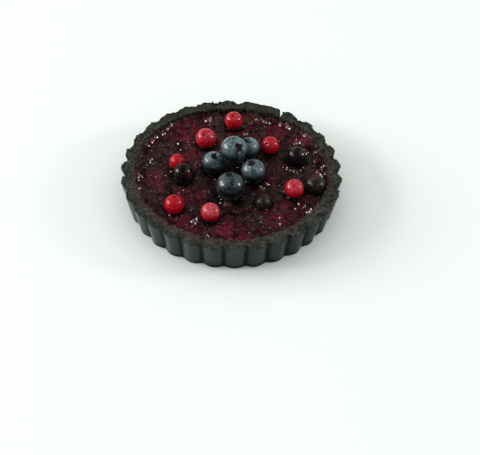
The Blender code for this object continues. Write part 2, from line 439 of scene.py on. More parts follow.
class RedBerrySettings(bpy.types.PropertyGroup):
    columns: as_count("Columns", "Steps round a red berry", 84)
    skin_colour: as_colour("Skin", "Ripe red skin", "#a90318")
    # Partly a painted sheen on the upper side.
    frost_and_sheen_colour: as_colour("Frost", "Pale frosted bloom", "#e8899c")
    eye_colour: as_colour("Eye", "Dark dimple", "#2c0206")


class DarkBerrySettings(bpy.types.PropertyGroup):
    columns: as_count("Columns", "Steps round a dark berry", 84)
    skin_colour: as_colour("Skin", "Near-black skin", "#0a0607")
    fleck_colour: as_colour("Fleck", "Brown and red flecks in the skin", "#5a2a25")
    dull_colour: as_colour("Dull", "Dull grey-green skin", "#34342e")
    haze_colour: as_colour("Haze", "Dry skin seen edge on", "#a7a3a0")


class StageSettings(bpy.types.PropertyGroup):
    distance: in_mm("Camera distance", "From the tart's base to the camera", 1200.0)
    elevation: in_degrees("Camera elevation", "Above the floor", 43.16)
    roll: in_degrees("Camera roll", "Tilt of the picture", 1.44)
    floor_colour: as_colour("Floor", "Pale matt floor", "#f2f6f3")
    bright_colour: as_colour("Bright floor", "As gloss mirrors it on the left", "#ecf6f5")
    mirrored_colour: as_colour("Mirrored floor", "As gloss mirrors it elsewhere", "#aebcbc")


SETTINGS = {
    "tart_crust": CrustSettings,
    "tart_jelly": JellySettings,
    "tart_blueberry": BlueberrySettings,
    "tart_red_berry": RedBerrySettings,
    "tart_dark_berry": DarkBerrySettings,
    "tart_stage": StageSettings,
}


# ---------------------------------------------------------------------------------------
# Modelling helpers


def deselect_all():
    for item in bpy.context.selected_objects:
        item.select_set(False)


def read_points(mesh):
    points = np.empty(len(mesh.vertices) * 3, np.float32)
    mesh.vertices.foreach_get("co", points)
    return points.reshape(-1, 3).astype(float)


def write_points(mesh, points):
    mesh.vertices.foreach_set("co", points.astype(np.float32).ravel())
    mesh.update()


def read_normals(mesh):
    normals = np.empty(len(mesh.vertices) * 3, np.float32)
    mesh.vertex_normals.foreach_get("vector", normals)
    return normals.reshape(-1, 3).astype(float)


def add_attribute(mesh, name, values):
    attribute = mesh.attributes.new(name, "FLOAT", "POINT")
    attribute.data.foreach_set("value", np.asarray(values, np.float32))


def soft(points, size, seed=0.0):
    """Soft random bumps about `size` across, from about -1 to 1."""
    spots = (points / size + (seed, -seed, 2 * seed)).tolist()
    return np.array([noise.noise(spot) for spot in spots])


def cells(points, size, seed=0.0):
    """Distance to the nearest of many random seeds about `size` apart, in shares of size, and
    how far the second nearest is beyond it."""
    spots = (points / size + (seed, -seed, 2 * seed)).tolist()
    near = np.array([noise.voronoi(spot)[0][:2] for spot in spots])
    return near[:, 0], near[:, 1] - near[:, 0]


def smooth_step(low, high, values):
    share = np.clip((values - low) / (high - low), 0.0, 1.0)
    return share * share * (3 - 2 * share)


def turn_from(angle, middle):
    """How far an angle is from a middle one, within half a turn either way."""
    return (angle - middle + math.pi) % FULL_TURN - math.pi


def from_line(points, x, y):
    """Distance from the upright line through x and y."""
    return np.hypot(points[:, 0] - x, points[:, 1] - y)


def along(points, spacing):
    """Points at about `spacing` along a polyline of (radius, height) corners. A corner may
    carry its own spacing, as a third number, for the stretch that follows it."""
    line = []
    for start, end in zip(points, points[1:]):
        step = start[2] if len(start) > 2 else spacing
        reach = math.dist(start[:2], end[:2])
        count = max(1, round(reach / step))
        for i in range(count):
            line.append((start[0] + (end[0] - start[0]) * i / count,
                         start[1] + (end[1] - start[1]) * i / count))
    line.append(points[-1][:2])
    return line


def turned(name, profile, columns):
    """A turned body. Its half outline is drawn by extruding one point, from the top of the
    axis round to the bottom, and is turned all the way round Z."""
    deselect_all()
    bpy.ops.mesh.primitive_plane_add(size=MM)
    piece = bpy.context.object
    piece.name = piece.data.name = name
    bpy.ops.object.mode_set(mode="EDIT")
    bpy.ops.mesh.merge(type="CENTER")
    at = Vector((profile[0][0], 0.0, profile[0][1]))
    bpy.ops.transform.translate(value=at)
    for radius, height in profile[1:]:
        to = Vector((radius, 0.0, height))
        bpy.ops.mesh.extrude_region_move(TRANSFORM_OT_translate={"value": to - at})
        at = to
    bpy.ops.object.mode_set(mode="OBJECT")
    turn = piece.modifiers.new("turn", "SCREW")
    turn.axis = "Z"
    turn.angle = FULL_TURN
    turn.steps = turn.render_steps = columns
    turn.use_merge_vertices = True
    turn.merge_threshold = MERGE
    bpy.ops.object.modifier_apply(modifier=turn.name)
    tidy_mesh(piece)
    return piece


def tidy_mesh(piece):
    """Merges points that lie on each other and turns all faces outwards."""
    deselect_all()
    piece.select_set(True)
    bpy.context.view_layer.objects.active = piece
    bpy.ops.object.mode_set(mode="EDIT")
    bpy.ops.mesh.select_all(action="SELECT")
    bpy.ops.mesh.remove_doubles(threshold=MERGE)
    bpy.ops.mesh.normals_make_consistent(inside=False)
    bpy.ops.object.mode_set(mode="OBJECT")


def finish_piece(piece, material, slot, *replaced):
    piece.data.materials.clear()
    piece.data.materials.append(material)
    piece.data.shade_smooth()
    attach(piece, "root")
    if replaced:
        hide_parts(*replaced)


# ---------------------------------------------------------------------------------------
# Materials


def add_node(tree, kind, inputs=None, **settings):
    """A node with its settings. Each input is set to a value, or linked to a socket or to the
    first output in use of another node."""
    made = tree.nodes.new(kind)
    for name, value in settings.items():
        setattr(made, name, value)
    for name, value in (inputs or {}).items():
        if isinstance(value, bpy.types.Node):
            value = next(output for output in value.outputs if output.enabled)
        if isinstance(value, bpy.types.NodeSocket):
            tree.links.new(value, made.inputs[name])
        else:
            made.inputs[name].default_value = value
    return made


def emptied(owner):
    """The empty node tree of a new material or world."""
    owner.use_nodes = True
    owner.node_tree.nodes.clear()
    return owner.node_tree


def new_material(surface, settings):
    """A material that is named for its surface function, which says what its shader gets."""
    material = bpy.data.materials.new(surface.__name__)
    tree = emptied(material)
    place = add_node(tree, "ShaderNodeTexCoord").outputs["Object"]
    shader = add_node(tree, "ShaderNodeBsdfPrincipled", surface(tree, place, settings))
    add_node(tree, "ShaderNodeOutputMaterial", {"Surface": shader})
    return material


def lay_over(tree, body, layers):
    """Lays colours over a first one. Each layer says what it follows, the value of that at which
    it starts and at which it is full, its greatest share, what else limits it, and its colour."""
    for source, start, full, most, limit, tint in layers:
        part = add_node(tree, "ShaderNodeMapRange",
                        {"Value": source, "From Min": start, "From Max": full, "To Max": most})
        part = add_node(tree, "ShaderNodeMath",
                        {0: part, 1: limit}, operation="MULTIPLY", use_clamp=True)
        body = add_node(tree, "ShaderNodeMix",
                        {SHARE: part, UNDER: body, OVER: tint}, data_type="RGBA")
    return body


def per_metre(size):
    """A noise texture's scale for features about this size across."""
    return 1.0 / size


# ---------------------------------------------------------------------------------------
# The shell


def around(points):
    return np.arctan2(points[:, 1], points[:, 0])


def across(points):
    return np.hypot(points[:, 0], points[:, 1])


def flute(angle, crust):
    """0 on a flute's crest and -1 in the crease between two."""
    wave = np.abs(np.cos(crust.flutes * (angle - crust.first_crest) / 2))
    return wave ** FLUTE_ROUNDNESS - 1


def slab(angle):
    """1 where the back of the rim is one long slab beside the crack, with its flutes filled."""
    off = np.abs(turn_from(angle, SLAB_MIDDLE))
    return smooth_step(SLAB_HALF + math.radians(3), SLAB_HALF - math.radians(1), off)


def worn_side(angle):
    """1 at the back left, where the rim's flutes are rubbed shallow."""
    off = np.abs(turn_from(angle, WORN_MIDDLE))
    return smooth_step(WORN_HALF + math.radians(8), WORN_HALF - math.radians(8), off)


def wall_radius(angle, height, crust):
    """Outer radius of the fluted wall at a height."""
    rise = height / (CRUST_HIGH.z - RIM_ROUNDING)
    crest = crust.base_radius + (crust.rim_radius - crust.base_radius) * rise
    depth = crust.base_depth + (crust.rim_depth - crust.base_depth) * rise
    filled = np.maximum(slab(angle), WORN_SHARE * worn_side(angle)) * smooth_step(0.3, 0.9, rise)
    return crest + depth * ((1 - filled) * flute(angle, crust) - 0.35 * filled)


def inner_radius(angle, crust):
    """Inner edge of the rim, a little further out at the back, slightly wavy and ragged."""
    wave = (np.sin(3 * angle + 0.6) + 0.7 * np.sin(5 * angle + 2.1)) / 1.7
    ring = np.column_stack((np.cos(angle), np.sin(angle), 0 * angle)) * crust.inner_radius
    ragged = soft(ring, 5.5 * MM, 31.0) + 0.5 * soft(ring, 2.4 * MM, 33.0)
    return (crust.inner_radius + crust.inner_shift * np.sin(angle) + crust.inner_wave * wave
            + crust.inner_crumb * ragged)


def crust_profile(crust):
    """Half outline of the shell, from the middle of the recess over the rim to the base."""
    top = CRUST_HIGH.z - HEADROOM
    lip = crust.inner_radius
    corner = crust.rim_radius - RIM_ROUNDING
    rounding = [(corner + RIM_ROUNDING * math.sin(turn), top - RIM_ROUNDING * (1 - math.cos(turn)))
                for turn in (math.radians(18 * step) for step in range(1, 5))]
    foot = [(crust.base_radius - BASE_ROUNDING * (1 - math.cos(turn)),
             BASE_ROUNDING * (1 - math.sin(turn)))
            for turn in (math.radians(18 * step) for step in range(5))]
    return along([
        (0.0, FLOOR_THICKNESS, 13 * MM),
        (lip - FLOOR_INSET, FLOOR_THICKNESS, 3 * MM),
        (lip - 0.3 * MM, JELLY_LEVEL - 1.5 * MM, 0.4 * MM),
        (lip, top - 1.3 * MM, 0.35 * MM),
        (lip + 0.4 * MM, top - 0.3 * MM, 0.35 * MM),
        (corner, top, 0.3 * MM),
        *((*point, 0.3 * MM) for point in rounding),
        (crust.rim_radius, top - RIM_ROUNDING, 0.5 * MM),
        *((*point, 0.4 * MM) for point in foot),
        (crust.base_radius - BASE_ROUNDING, 0.0, 13 * MM),
        (0.0, 0.0),
    ], 0.4 * MM)


def crowd_to_crack(angle):
    """Brings the columns closer together near the crack, so that its edges can be sharp."""
    off = turn_from(angle, CRACK_ANGLE)
    return CRACK_ANGLE + off * (1 - 0.75 * np.exp(-(off / math.radians(5)) ** 2))


def shape_shell(points, crust):
    """Moves the turned shell's points to the fluted wall and the wavy inner edge."""
    radius, height = across(points), points[:, 2]
    angle = crowd_to_crack(around(points))
    wall = wall_radius(angle, height, crust)
    rise = height / (CRUST_HIGH.z - RIM_ROUNDING)
    crest = crust.base_radius + (crust.rim_radius - crust.base_radius) * rise
    lip = inner_radius(angle, crust)
    share = np.clip((radius - crust.inner_radius) / (crest - crust.inner_radius), 0, 1)
    rim = lip + (wall - lip) * share
    recess = radius * lip / crust.inner_radius
    under = radius * (1 + (radius / crust.base_radius) ** 8 * (wall / crest - 1))
    moved = np.where(radius <= crust.inner_radius, recess, rim)
    moved = np.where(height < 0.05 * MM, under, moved)
    return np.column_stack((moved * np.cos(angle), moved * np.sin(angle), height)), share


def between_crumbs(points, size, seed, steep, dome):
    """1 between rounded crumbs about `size` across, and less on their tops."""
    near, gap = cells(points, size, seed)
    return 1 - np.sqrt(np.clip(gap * steep, 0, 1)) * (1 - dome * near)


def crumb_relief(points, crust):
    """How far the broken rim lies below its highest level: lumps, crumbs, fine crumbs and the
    small holes where crumbs fell out. The slab beside the crack is smoother."""
    back = smooth_step(0.6, 0.95, np.sin(around(points)))
    lump = 0.25 - 0.45 * back - 0.9 * soft(points, 6.5 * MM, 3.0)
    crumb = between_crumbs(points, 2.6 * MM, 1.0, 2.0, 0.5)
    pushed = points + soft(points, 1.5 * MM)[:, None] * 0.3 * MM
    fine = between_crumbs(pushed, 1.3 * MM, 5.0, 2.2, 0.6)
    near, _ = cells(points, 2.3 * MM, 17.0)
    hole = np.clip(1.25 - near / 0.27, 0, 1) * (soft(points, 5 * MM, 19.0) > -0.3)
    calm = 1 - 0.6 * slab(around(points))
    crumb = np.clip(crumb - 0.25, 0, 1) * 1.25
    return (crust.big_lump * np.clip(lump, 0, 1.3) + calm * crust.crumb * crumb
            + calm * crust.fine_crumb * fine + HOLE_DEPTH * hole * calm)


def wall_relief(points, crust):
    """How far the moulded wall lies inside its outline: a few pits, and faint upright drags."""
    near, _ = cells(points, 3.4 * MM, 11.0)
    chance = soft(points, 9 * MM, 2.0)
    pits = np.clip(1 - near / 0.22, 0, 1) ** 0.7 * (chance > 0.0)
    upright = points * (1.0, 1.0, 0.12)
    drag = soft(upright, 1.4 * MM, 9.0)
    sway = soft(points, 9 * MM, 4.0)
    return PIT_DEPTH * pits + DRAG_DEPTH * drag + SWAY_DEPTH * sway


def open_crack(points, share, crust):
    """Pushes the points that lie in the crack down to its foot."""
    angle = around(points)
    off = turn_from(angle, CRACK_ANGLE)
    radius = across(points)
    lean = (radius - CRACK_MIDDLE) * math.tan(CRACK_TWIST)
    jag = CRACK_JAG * soft(points * (1, 1, 0.3), 1.9 * MM, 21.0)
    aside = np.abs(radius * off - lean + jag)
    half = crust.crack_width / 2 * (0.5 + 0.5 * smooth_step(51 * MM, 59 * MM, radius))
    inside = (aside < half) & (radius > 45 * MM) & (points[:, 2] > CRACK_FOOT)
    points[inside, 2] = CRACK_FOOT
    return points, smooth_step(half + 0.9 * MM, half, aside)


class TART_OT_crust(bpy.types.Operator):
    """Makes the fluted cocoa shortcrust shell, with its crumbly rim and the crack through it"""
    bl_idname = "tart.crust"
    bl_label = "Shortcrust shell"

    def execute(self, context):
        crust = context.scene.tart_crust
        piece = turned("shortcrust_shell", crust_profile(crust), crust.columns)
        points, share = shape_shell(read_points(piece.data), crust)
        write_points(piece.data, points)
        normals = read_normals(piece.data)
        angle, height = around(points), points[:, 2]
        crease = -flute(angle, crust) * smooth_step(0.35, 0.95, share)
        on_rim = smooth_step(13.4 * MM, 15.4 * MM, height)
        line = RIM_LINE + 1.0 * MM * soft(points * (1, 1, 0.2), 5 * MM, 13.0)
        above_line = smooth_step(line - 0.25 * MM, line + 0.35 * MM, height)
        worked = np.where(share > TURN_DOWN, above_line, 1.0) * on_rim
        relief = crumb_relief(points, crust)
        on_wall = share > WALL_START
        wall = wall_relief(points, crust) * on_wall
        inward = worked * (relief - OVERHANG) + (1 - worked) * wall
        points -= normals * inward[:, None]
        points[:, 2] -= crease * worked * RIM_CREASE * (1 - 0.6 * (np.sin(angle) > 0.3))
        points[:, 2] = np.clip(points[:, 2], 0, CRUST_HIGH.z)
        reach = across(points)
        points[:, :2] *= np.minimum(1, (CRUST_HIGH.x - 0.02 * MM) / np.maximum(reach, MM))[:, None]
        points, near_crack = open_crack(points, share, crust)
        write_points(piece.data, points)
        add_attribute(piece.data, "worked", np.maximum(worked, near_crack))
        # Painted shade: the deeper the rim's crumb lies, the more of the shadowed pore colour it
        # takes.
        add_attribute(piece.data, "hollow", np.clip(relief / (1.6 * MM), 0, 1))
        # Painted shade: the wall's gutters and foot, the rim's inner face at the back and its
        # creases are darkened where shade falls, and the back of the rim a little.
        foot = smooth_step(5 * MM, 0.8 * MM, height + 1.5 * MM * soft(points, 5 * MM, 37.0))
        gutter = smooth_step(-0.5, -1.0, flute(angle, crust)) * on_wall
        shade = np.maximum(0.92 * gutter, 0.85 * foot * on_wall) * (1 - worked)
        inner_face = smooth_step(0.28, 0.08, share) * smooth_step(0.0, 0.7, np.sin(angle))
        behind = (0.35 * smooth_step(0.5, 0.9, np.sin(angle)) + 0.85 * crease ** 1.5) * worked
        shade = np.maximum(shade, np.maximum(0.85 * inner_face, behind))
        add_attribute(piece.data, "painted_shade", shade)
        # Juice soaked into the crumb beside the jelly, in blots.
        blot = soft(points, 6 * MM, 35.0) + 0.5 * soft(points, 2 * MM, 36.0)
        blot = smooth_step(-0.1, 0.25, blot)
        juicy = smooth_step(0.3, 1.0, np.cos(angle - JUICY_SIDE))
        soaked = smooth_step(0.3, 0.02, share - 0.2 * juicy) * (0.35 + 0.65 * blot)
        add_attribute(piece.data, "stained", soaked)
        tidy_mesh(piece)
        finish_piece(piece, new_material(cocoa_shortcrust, crust), "shortcrust", "crust")
        deselect_all()
        piece.select_set(True)
        context.view_layer.objects.active = piece
        bpy.ops.object.shade_smooth_by_angle(angle=SHARPEST_SMOOTHED)
        return {"FINISHED"}


def cocoa_shortcrust(tree, place, crust):
    """Cocoa shortcrust, pressed in a tin and cooked in the oven. Black cocoa makes it near-black
    and a little green-grey. The broken rim is a dry matt crumb; its hollows, pits and the gaps
    between crumbs are painted dark as shade. The tin left the wall smooth, with a satin sheen from
    the butter that mirrors the floor. The gutters between the flutes, the foot, the rim's inner
    face at the back and its creases are painted dark as shade, and the sheen is turned down there."""
    # The last of these masks is the painted shade of the gutters, foot, inner face and creases.
    worked, hollow, stained, painted_dark = (
        add_node(tree, "ShaderNodeAttribute", attribute_name=name).outputs["Fac"]
        for name in ("worked", "hollow", "stained", "painted_shade"))
    patch = add_node(tree, "ShaderNodeTexNoise",
                     {"Vector": place, "Scale": per_metre(5 * MM), "Detail": 3.0})
    # Cocoa grains are about 0.1 mm. These two are drawn as coarse as they need to show; the dark
    # side of the fine one is painted shade in the pits.
    grain = add_node(tree, "ShaderNodeTexVoronoi", {"Vector": place, "Scale": per_metre(0.9 * MM)})
    fine = add_node(tree, "ShaderNodeTexNoise",
                    {"Vector": place, "Scale": per_metre(0.6 * MM), "Detail": 3.0})
    # The gaps between crumbs are about 1 mm, and drawn at twice that to show. They are painted dark
    # as shade.
    gaps = add_node(tree, "ShaderNodeTexNoise",
                    {"Vector": place, "Scale": per_metre(2.4 * MM), "Detail": 2.0, "Roughness": 0.6,
                     "Distortion": 0.6})
    mostly = add_node(tree, "ShaderNodeMapRange", {"Value": worked, "To Min": 0.25})
    # Painted shade: the layers in the shadowed pore colour darken the hollows, pits and gaps of the
    # crumb, and the painted-shade mask darkens the gutters, foot and creases.
    body = lay_over(tree, crust.wall_colour, (
        (worked, 0.0, 1.0, 1.0, 1.0, crust.rim_colour),
        (patch, 0.4, 0.75, 0.3, mostly, crust.grain_colour),
        (grain.outputs["Color"], 0.7, 0.95, 0.5, worked, crust.grain_colour),
        (hollow, 0.35, 0.9, 0.9, worked, crust.pore_colour),
        (stained, 0.0, 1.0, 1.0, 1.0, crust.stain_colour),
        (painted_dark, 0.0, 1.0, 1.0, 1.0, crust.pore_colour),
        (fine, 0.51, 0.36, 0.85, worked, crust.pore_colour),
        (fine, 0.54, 0.68, 0.55, worked, crust.grain_colour),
        (gaps, 0.46, 0.34, 0.9, worked, crust.pore_colour),
    ))
    rough = add_node(tree, "ShaderNodeMapRange", {"Value": worked, "To Min": 0.1, "To Max": 0.8})
    bump = add_node(tree, "ShaderNodeBump",
                    {"Height": fine, "Strength": rough, "Distance": 0.35 * MM})
    dull = add_node(tree, "ShaderNodeMapRange", {"Value": worked, "To Min": 0.17, "To Max": 0.85})
    # The sheen is turned down where the shade is painted.
    butter = add_node(tree, "ShaderNodeMapRange", {"Value": painted_dark, "To Min": 0.5, "To Max": 0.05})
    return {"Base Color": body, "Normal": bump, "Roughness": dull, "Specular IOR Level": butter}


class TART_OT_crumbs(bpy.types.Operator):
    """Scatters loose crumbs over the rim"""
    bl_idname = "tart.crumbs"
    bl_label = "Loose crumbs"

    def execute(self, context):
        crust = context.scene.tart_crust
        shell = bpy.data.objects["shortcrust_shell"]
        points, normals = read_points(shell.data), read_normals(shell.data)
        attribute = shell.data.attributes["worked"].data
        worked = np.empty(len(points), np.float32)
        attribute.foreach_get("value", worked)
        chance = np.random.default_rng(CRUMB_SEED)
        good = np.flatnonzero((worked > 0.8) & (points[:, 2] > JELLY_LEVEL + 0.4 * MM))
        spots = chance.choice(good, CRUMBS, replace=False)
        sizes = CRUMB_LEAST + CRUMB_EXTRA * chance.random(CRUMBS) ** 3
        sizes = np.where(points[spots, 2] > RIM_LINE, sizes, sizes * 0.7)
        centres = points[spots] + normals[spots] * (sizes * 0.25)[:, None]
        limit = CRUST_HIGH.x - sizes - 0.05 * MM
        centres[:, :2] *= np.minimum(1, limit / across(centres))[:, None]
        centres[:, 2] = np.minimum(centres[:, 2], CRUST_HIGH.z - sizes)
        piece = scattered("rim_crumbs", centres, sizes, chance, roughness=0.35)
        count = len(piece.data.vertices)
        # Loose crumbs get no painted shade.
        for name, value in (("worked", 1), ("hollow", 0.15), ("stained", 0), ("painted_shade", 0)):
            add_attribute(piece.data, name, np.full(count, value))
        finish_piece(piece, bpy.data.materials["cocoa_shortcrust"], "shortcrust")
        piece.data.shade_flat()
        return {"FINISHED"}


def scattered(name, centres, sizes, chance, roughness=0.3, stretch=(1.0, 1.0, 1.0), fineness=1,
              ways=None):
    """One joined mesh of many small rough grains, each shaped its own way, and turned at random
    or with its own top the given way."""
    deselect_all()
    bpy.ops.mesh.primitive_ico_sphere_add(subdivisions=fineness, radius=1.0)
    grain = bpy.context.object
    shape = read_points(grain.data)
    faces = np.array([face.vertices[:] for face in grain.data.polygons])
    bpy.data.objects.remove(grain)
    count = len(centres)
    lumps = 1 + roughness * (2 * chance.random((count, len(shape))) - 1)
    spins = chance.uniform(-math.pi, math.pi, (count, 2))
    if ways is None:
        turns = [Matrix.Rotation(a, 3, "Z") @ Matrix.Rotation(b, 3, "X") for a, b in spins]
    else:
        turns = [Vector(way).to_track_quat("Z", "Y").to_matrix() @ Matrix.Rotation(a, 3, "Z")
                 for way, (a, _) in zip(ways, spins)]
    grains = shape[None] * lumps[:, :, None] * np.array(stretch)
    grains = np.einsum("nij,nkj->nki", np.array(turns), grains)
    points = centres[:, None] + grains * sizes[:, None, None]
    indices = faces[None] + (np.arange(count) * len(shape))[:, None, None]
    mesh = bpy.data.meshes.new(name)
    mesh.from_pydata(points.reshape(-1, 3).tolist(), [], indices.reshape(-1, 3).tolist())
    piece = bpy.data.objects.new(name, mesh)
    bpy.context.scene.collection.objects.link(piece)
    return piece


# ---------------------------------------------------------------------------------------
# The jelly


def jelly_profile(crust, jelly):
    """Half outline of the jelly: its top from the middle out, its side and its flat bottom."""
    edge = crust.inner_radius + JELLY_OVERLAP
    fine = edge - 2.6 * MM
    step = fine / (jelly.rings - 14)
    return along([
        (0.0, JELLY_LEVEL, step),
        (fine, JELLY_LEVEL, 0.2 * MM),
        (edge, JELLY_LEVEL, 3 * MM),
        (edge - 1.9 * MM, FLOOR_THICKNESS + 0.3 * MM, 15 * MM),
        (0.0, FLOOR_THICKNESS + 0.3 * MM),
    ], step)


def swirled(points, shift, size, seed):
    """Points laid flat and pushed aside, so that a pattern on them loses its even look."""
    flat = points * (1, 1, 0)
    flat[:, 0] += shift * soft(flat, size, seed)
    flat[:, 1] += shift * soft(flat, size, seed + 3)
    return flat


def mounds(points, size, seed):
    """Round bumps about `size` apart, from 0 to 1."""
    near, _ = cells(points, size, seed)
    return np.clip(1 - (near / 0.55) ** 2, 0, 1) ** 2


def jelly_relief(points, crust, jelly):
    """Height of the jelly over its level: swells, fruit pieces and pulp under the skin of glaze,
    and the climb up the shell."""
    flat = swirled(points, 0.8 * MM, 3 * MM, 50.0)
    lively = 0.35 + 0.65 * smooth_step(-0.2, 0.3, soft(flat, 12 * MM, 8.0))
    pieces = mounds(flat, 4.2 * MM, 6.0) * smooth_step(-0.05, 0.1, soft(flat, 7 * MM, 9.0))
    pulp = mounds(flat, 1.9 * MM, 16.0) * smooth_step(-0.2, 0.1, soft(flat, 4 * MM, 19.0))
    height = jelly.swell * soft(flat, 17 * MM)
    height += lively * (jelly.ripple * soft(flat, 4.5 * MM, 2.0) + jelly.pieces * pieces
                        + jelly.pulp * (pulp + 0.5 * soft(flat, 1.5 * MM, 15.0)))
    for (x, y), radius, rise, _ in SUNK_FRUIT:
        off = from_line(points, x * MM, y * MM) / (radius * MM)
        dome = np.sqrt(np.clip(1 - off ** 2, 0, 1))
        height = np.maximum(height, height * 0.4 + rise * MM * dome * (off < 1))
    to_edge = inner_radius(around(points), crust) - across(points)
    climb = jelly.creep * (0.85 + 0.7 * soft(flat, 5 * MM, 30.0))
    height += climb * np.exp(-np.clip(to_edge, -0.3 * MM, None) / jelly.creep_reach)
    return height


def area_share(points, areas):
    """1 in the middle of an area, falling softly to 0 outside it."""
    share = np.zeros(len(points))
    for (x, y), reach in areas:
        off = from_line(points, x * MM, y * MM) / (reach * MM)
        share = np.maximum(share, np.exp(-off ** 2))
    return share


def jelly_patches(points):
    """Where red flesh and where brown skins and seeds lie just under the jelly's surface, where
    shade is painted black round the berries, and where dark pools lie at random."""
    flat = swirled(points, 2.0 * MM, 6 * MM, 40.0)
    red, brown = area_share(flat, RED_AREAS), area_share(flat, BROWN_AREAS)
    red_share = (red - 0.5 * brown + 0.6 * soft(flat, 6 * MM, 22.0)
                 + 0.45 * soft(flat, 2.6 * MM, 23.0))
    brown_share = (brown - 0.4 * red + 0.5 * soft(flat, 5 * MM, 26.0)
                   + 0.5 * soft(flat, 2.2 * MM, 27.0))
    # Painted shade: black in a ring round each berry, then dark pools of jelly at random.
    shade = np.zeros(len(points))
    for node in BERRIES:
        centre, radius = node_ball(node)
        if centre.z - radius > JELLY_LEVEL:
            radius *= 0.7
        reach = BLUEBERRY_SHADE if node in BLUEBERRIES else BERRY_SHADE
        off = from_line(flat, centre.x, centre.y)
        near = smooth_step(radius + 1.5 * reach, radius - 0.5 * reach, off)
        if node in DARK_BERRIES:
            near = smooth_step(radius + DARK_MOAT + 1.1 * MM, radius + DARK_MOAT - 0.6 * MM, off)
        shade = np.maximum(shade, near)
    pool = smooth_step(0.0, 0.5, soft(flat, 4.5 * MM, 60.0) + 0.6 * soft(flat, 1.8 * MM, 61.0))
    shade = np.maximum(shade, POOL_DARKNESS * pool)
    return smooth_step(-0.15, 0.7, red_share), smooth_step(0.1, 0.7, brown_share), shade


def colour_jelly(piece, fruit, share=1.0):
    """Gives a piece of jelly the attributes that its colours follow."""
    points = read_points(piece.data)
    red, brown, shade = jelly_patches(points)
    peel = np.zeros(len(points))
    for middle, reach, tint in PEELS:
        peel += tint * smooth_step(0.25, 0.6, area_share(points, ((middle, reach),)))
    add_attribute(piece.data, "peel", peel)
    add_attribute(piece.data, "fruit", fruit)
    add_attribute(piece.data, "red", red * share)
    add_attribute(piece.data, "brown", brown * share)
    clear = 1 - np.clip(np.abs(fruit) + 0.8 * np.abs(peel), 0, 1)
    add_attribute(piece.data, "shade", shade * clear)


def under_berries(points, height):
    """Keeps the jelly's surface below the berries that stand in it."""
    for node in BERRIES:
        centre, radius = node_ball(node)
        off = from_line(points, centre.x, centre.y)
        inside = off < radius
        low = centre.z - np.sqrt(np.clip(radius ** 2 - off ** 2, 0, None)) + 0.15 * MM
        height = np.where(inside, np.minimum(height, low), height)
    return height


class TART_OT_jelly(bpy.types.Operator):
    """Makes the set berry jelly, lumpy with fruit and climbing a little up the shell"""
    bl_idname = "tart.jelly"
    bl_label = "Berry jelly"

    def execute(self, context):
        crust, jelly = context.scene.tart_crust, context.scene.tart_jelly
        piece = turned("berry_jelly", jelly_profile(crust, jelly), jelly.columns)
        points = read_points(piece.data)
        edge = crust.inner_radius + JELLY_OVERLAP
        lip = inner_radius(around(points), crust) + JELLY_OVERLAP
        points[:, :2] *= (lip / edge)[:, None]
        top = points[:, 2] > JELLY_LEVEL - 0.1 * MM
        surface = points[top]
        surface[:, 2] += jelly_relief(surface, crust, jelly)
        surface[:, 2] = under_berries(surface, surface[:, 2])
        points[top] = surface
        write_points(piece.data, points)
        fruit = np.zeros(len(points))
        for (x, y), radius, _, tint in SUNK_FRUIT:
            off = from_line(points, x * MM, y * MM) / (radius * MM)
            fruit += tint * smooth_step(1.1, 0.7, off)
        # Painted shade: the low spots of the jelly lose half their red and brown and go dark.
        crevice_shade = smooth_step(JELLY_LEVEL + 0.5 * MM, JELLY_LEVEL - 0.1 * MM, points[:, 2])
        colour_jelly(piece, fruit, 1 - 0.5 * crevice_shade)
        finish_piece(piece, new_material(set_berry_jelly, jelly), "jelly", "jelly")
        return {"FINISHED"}


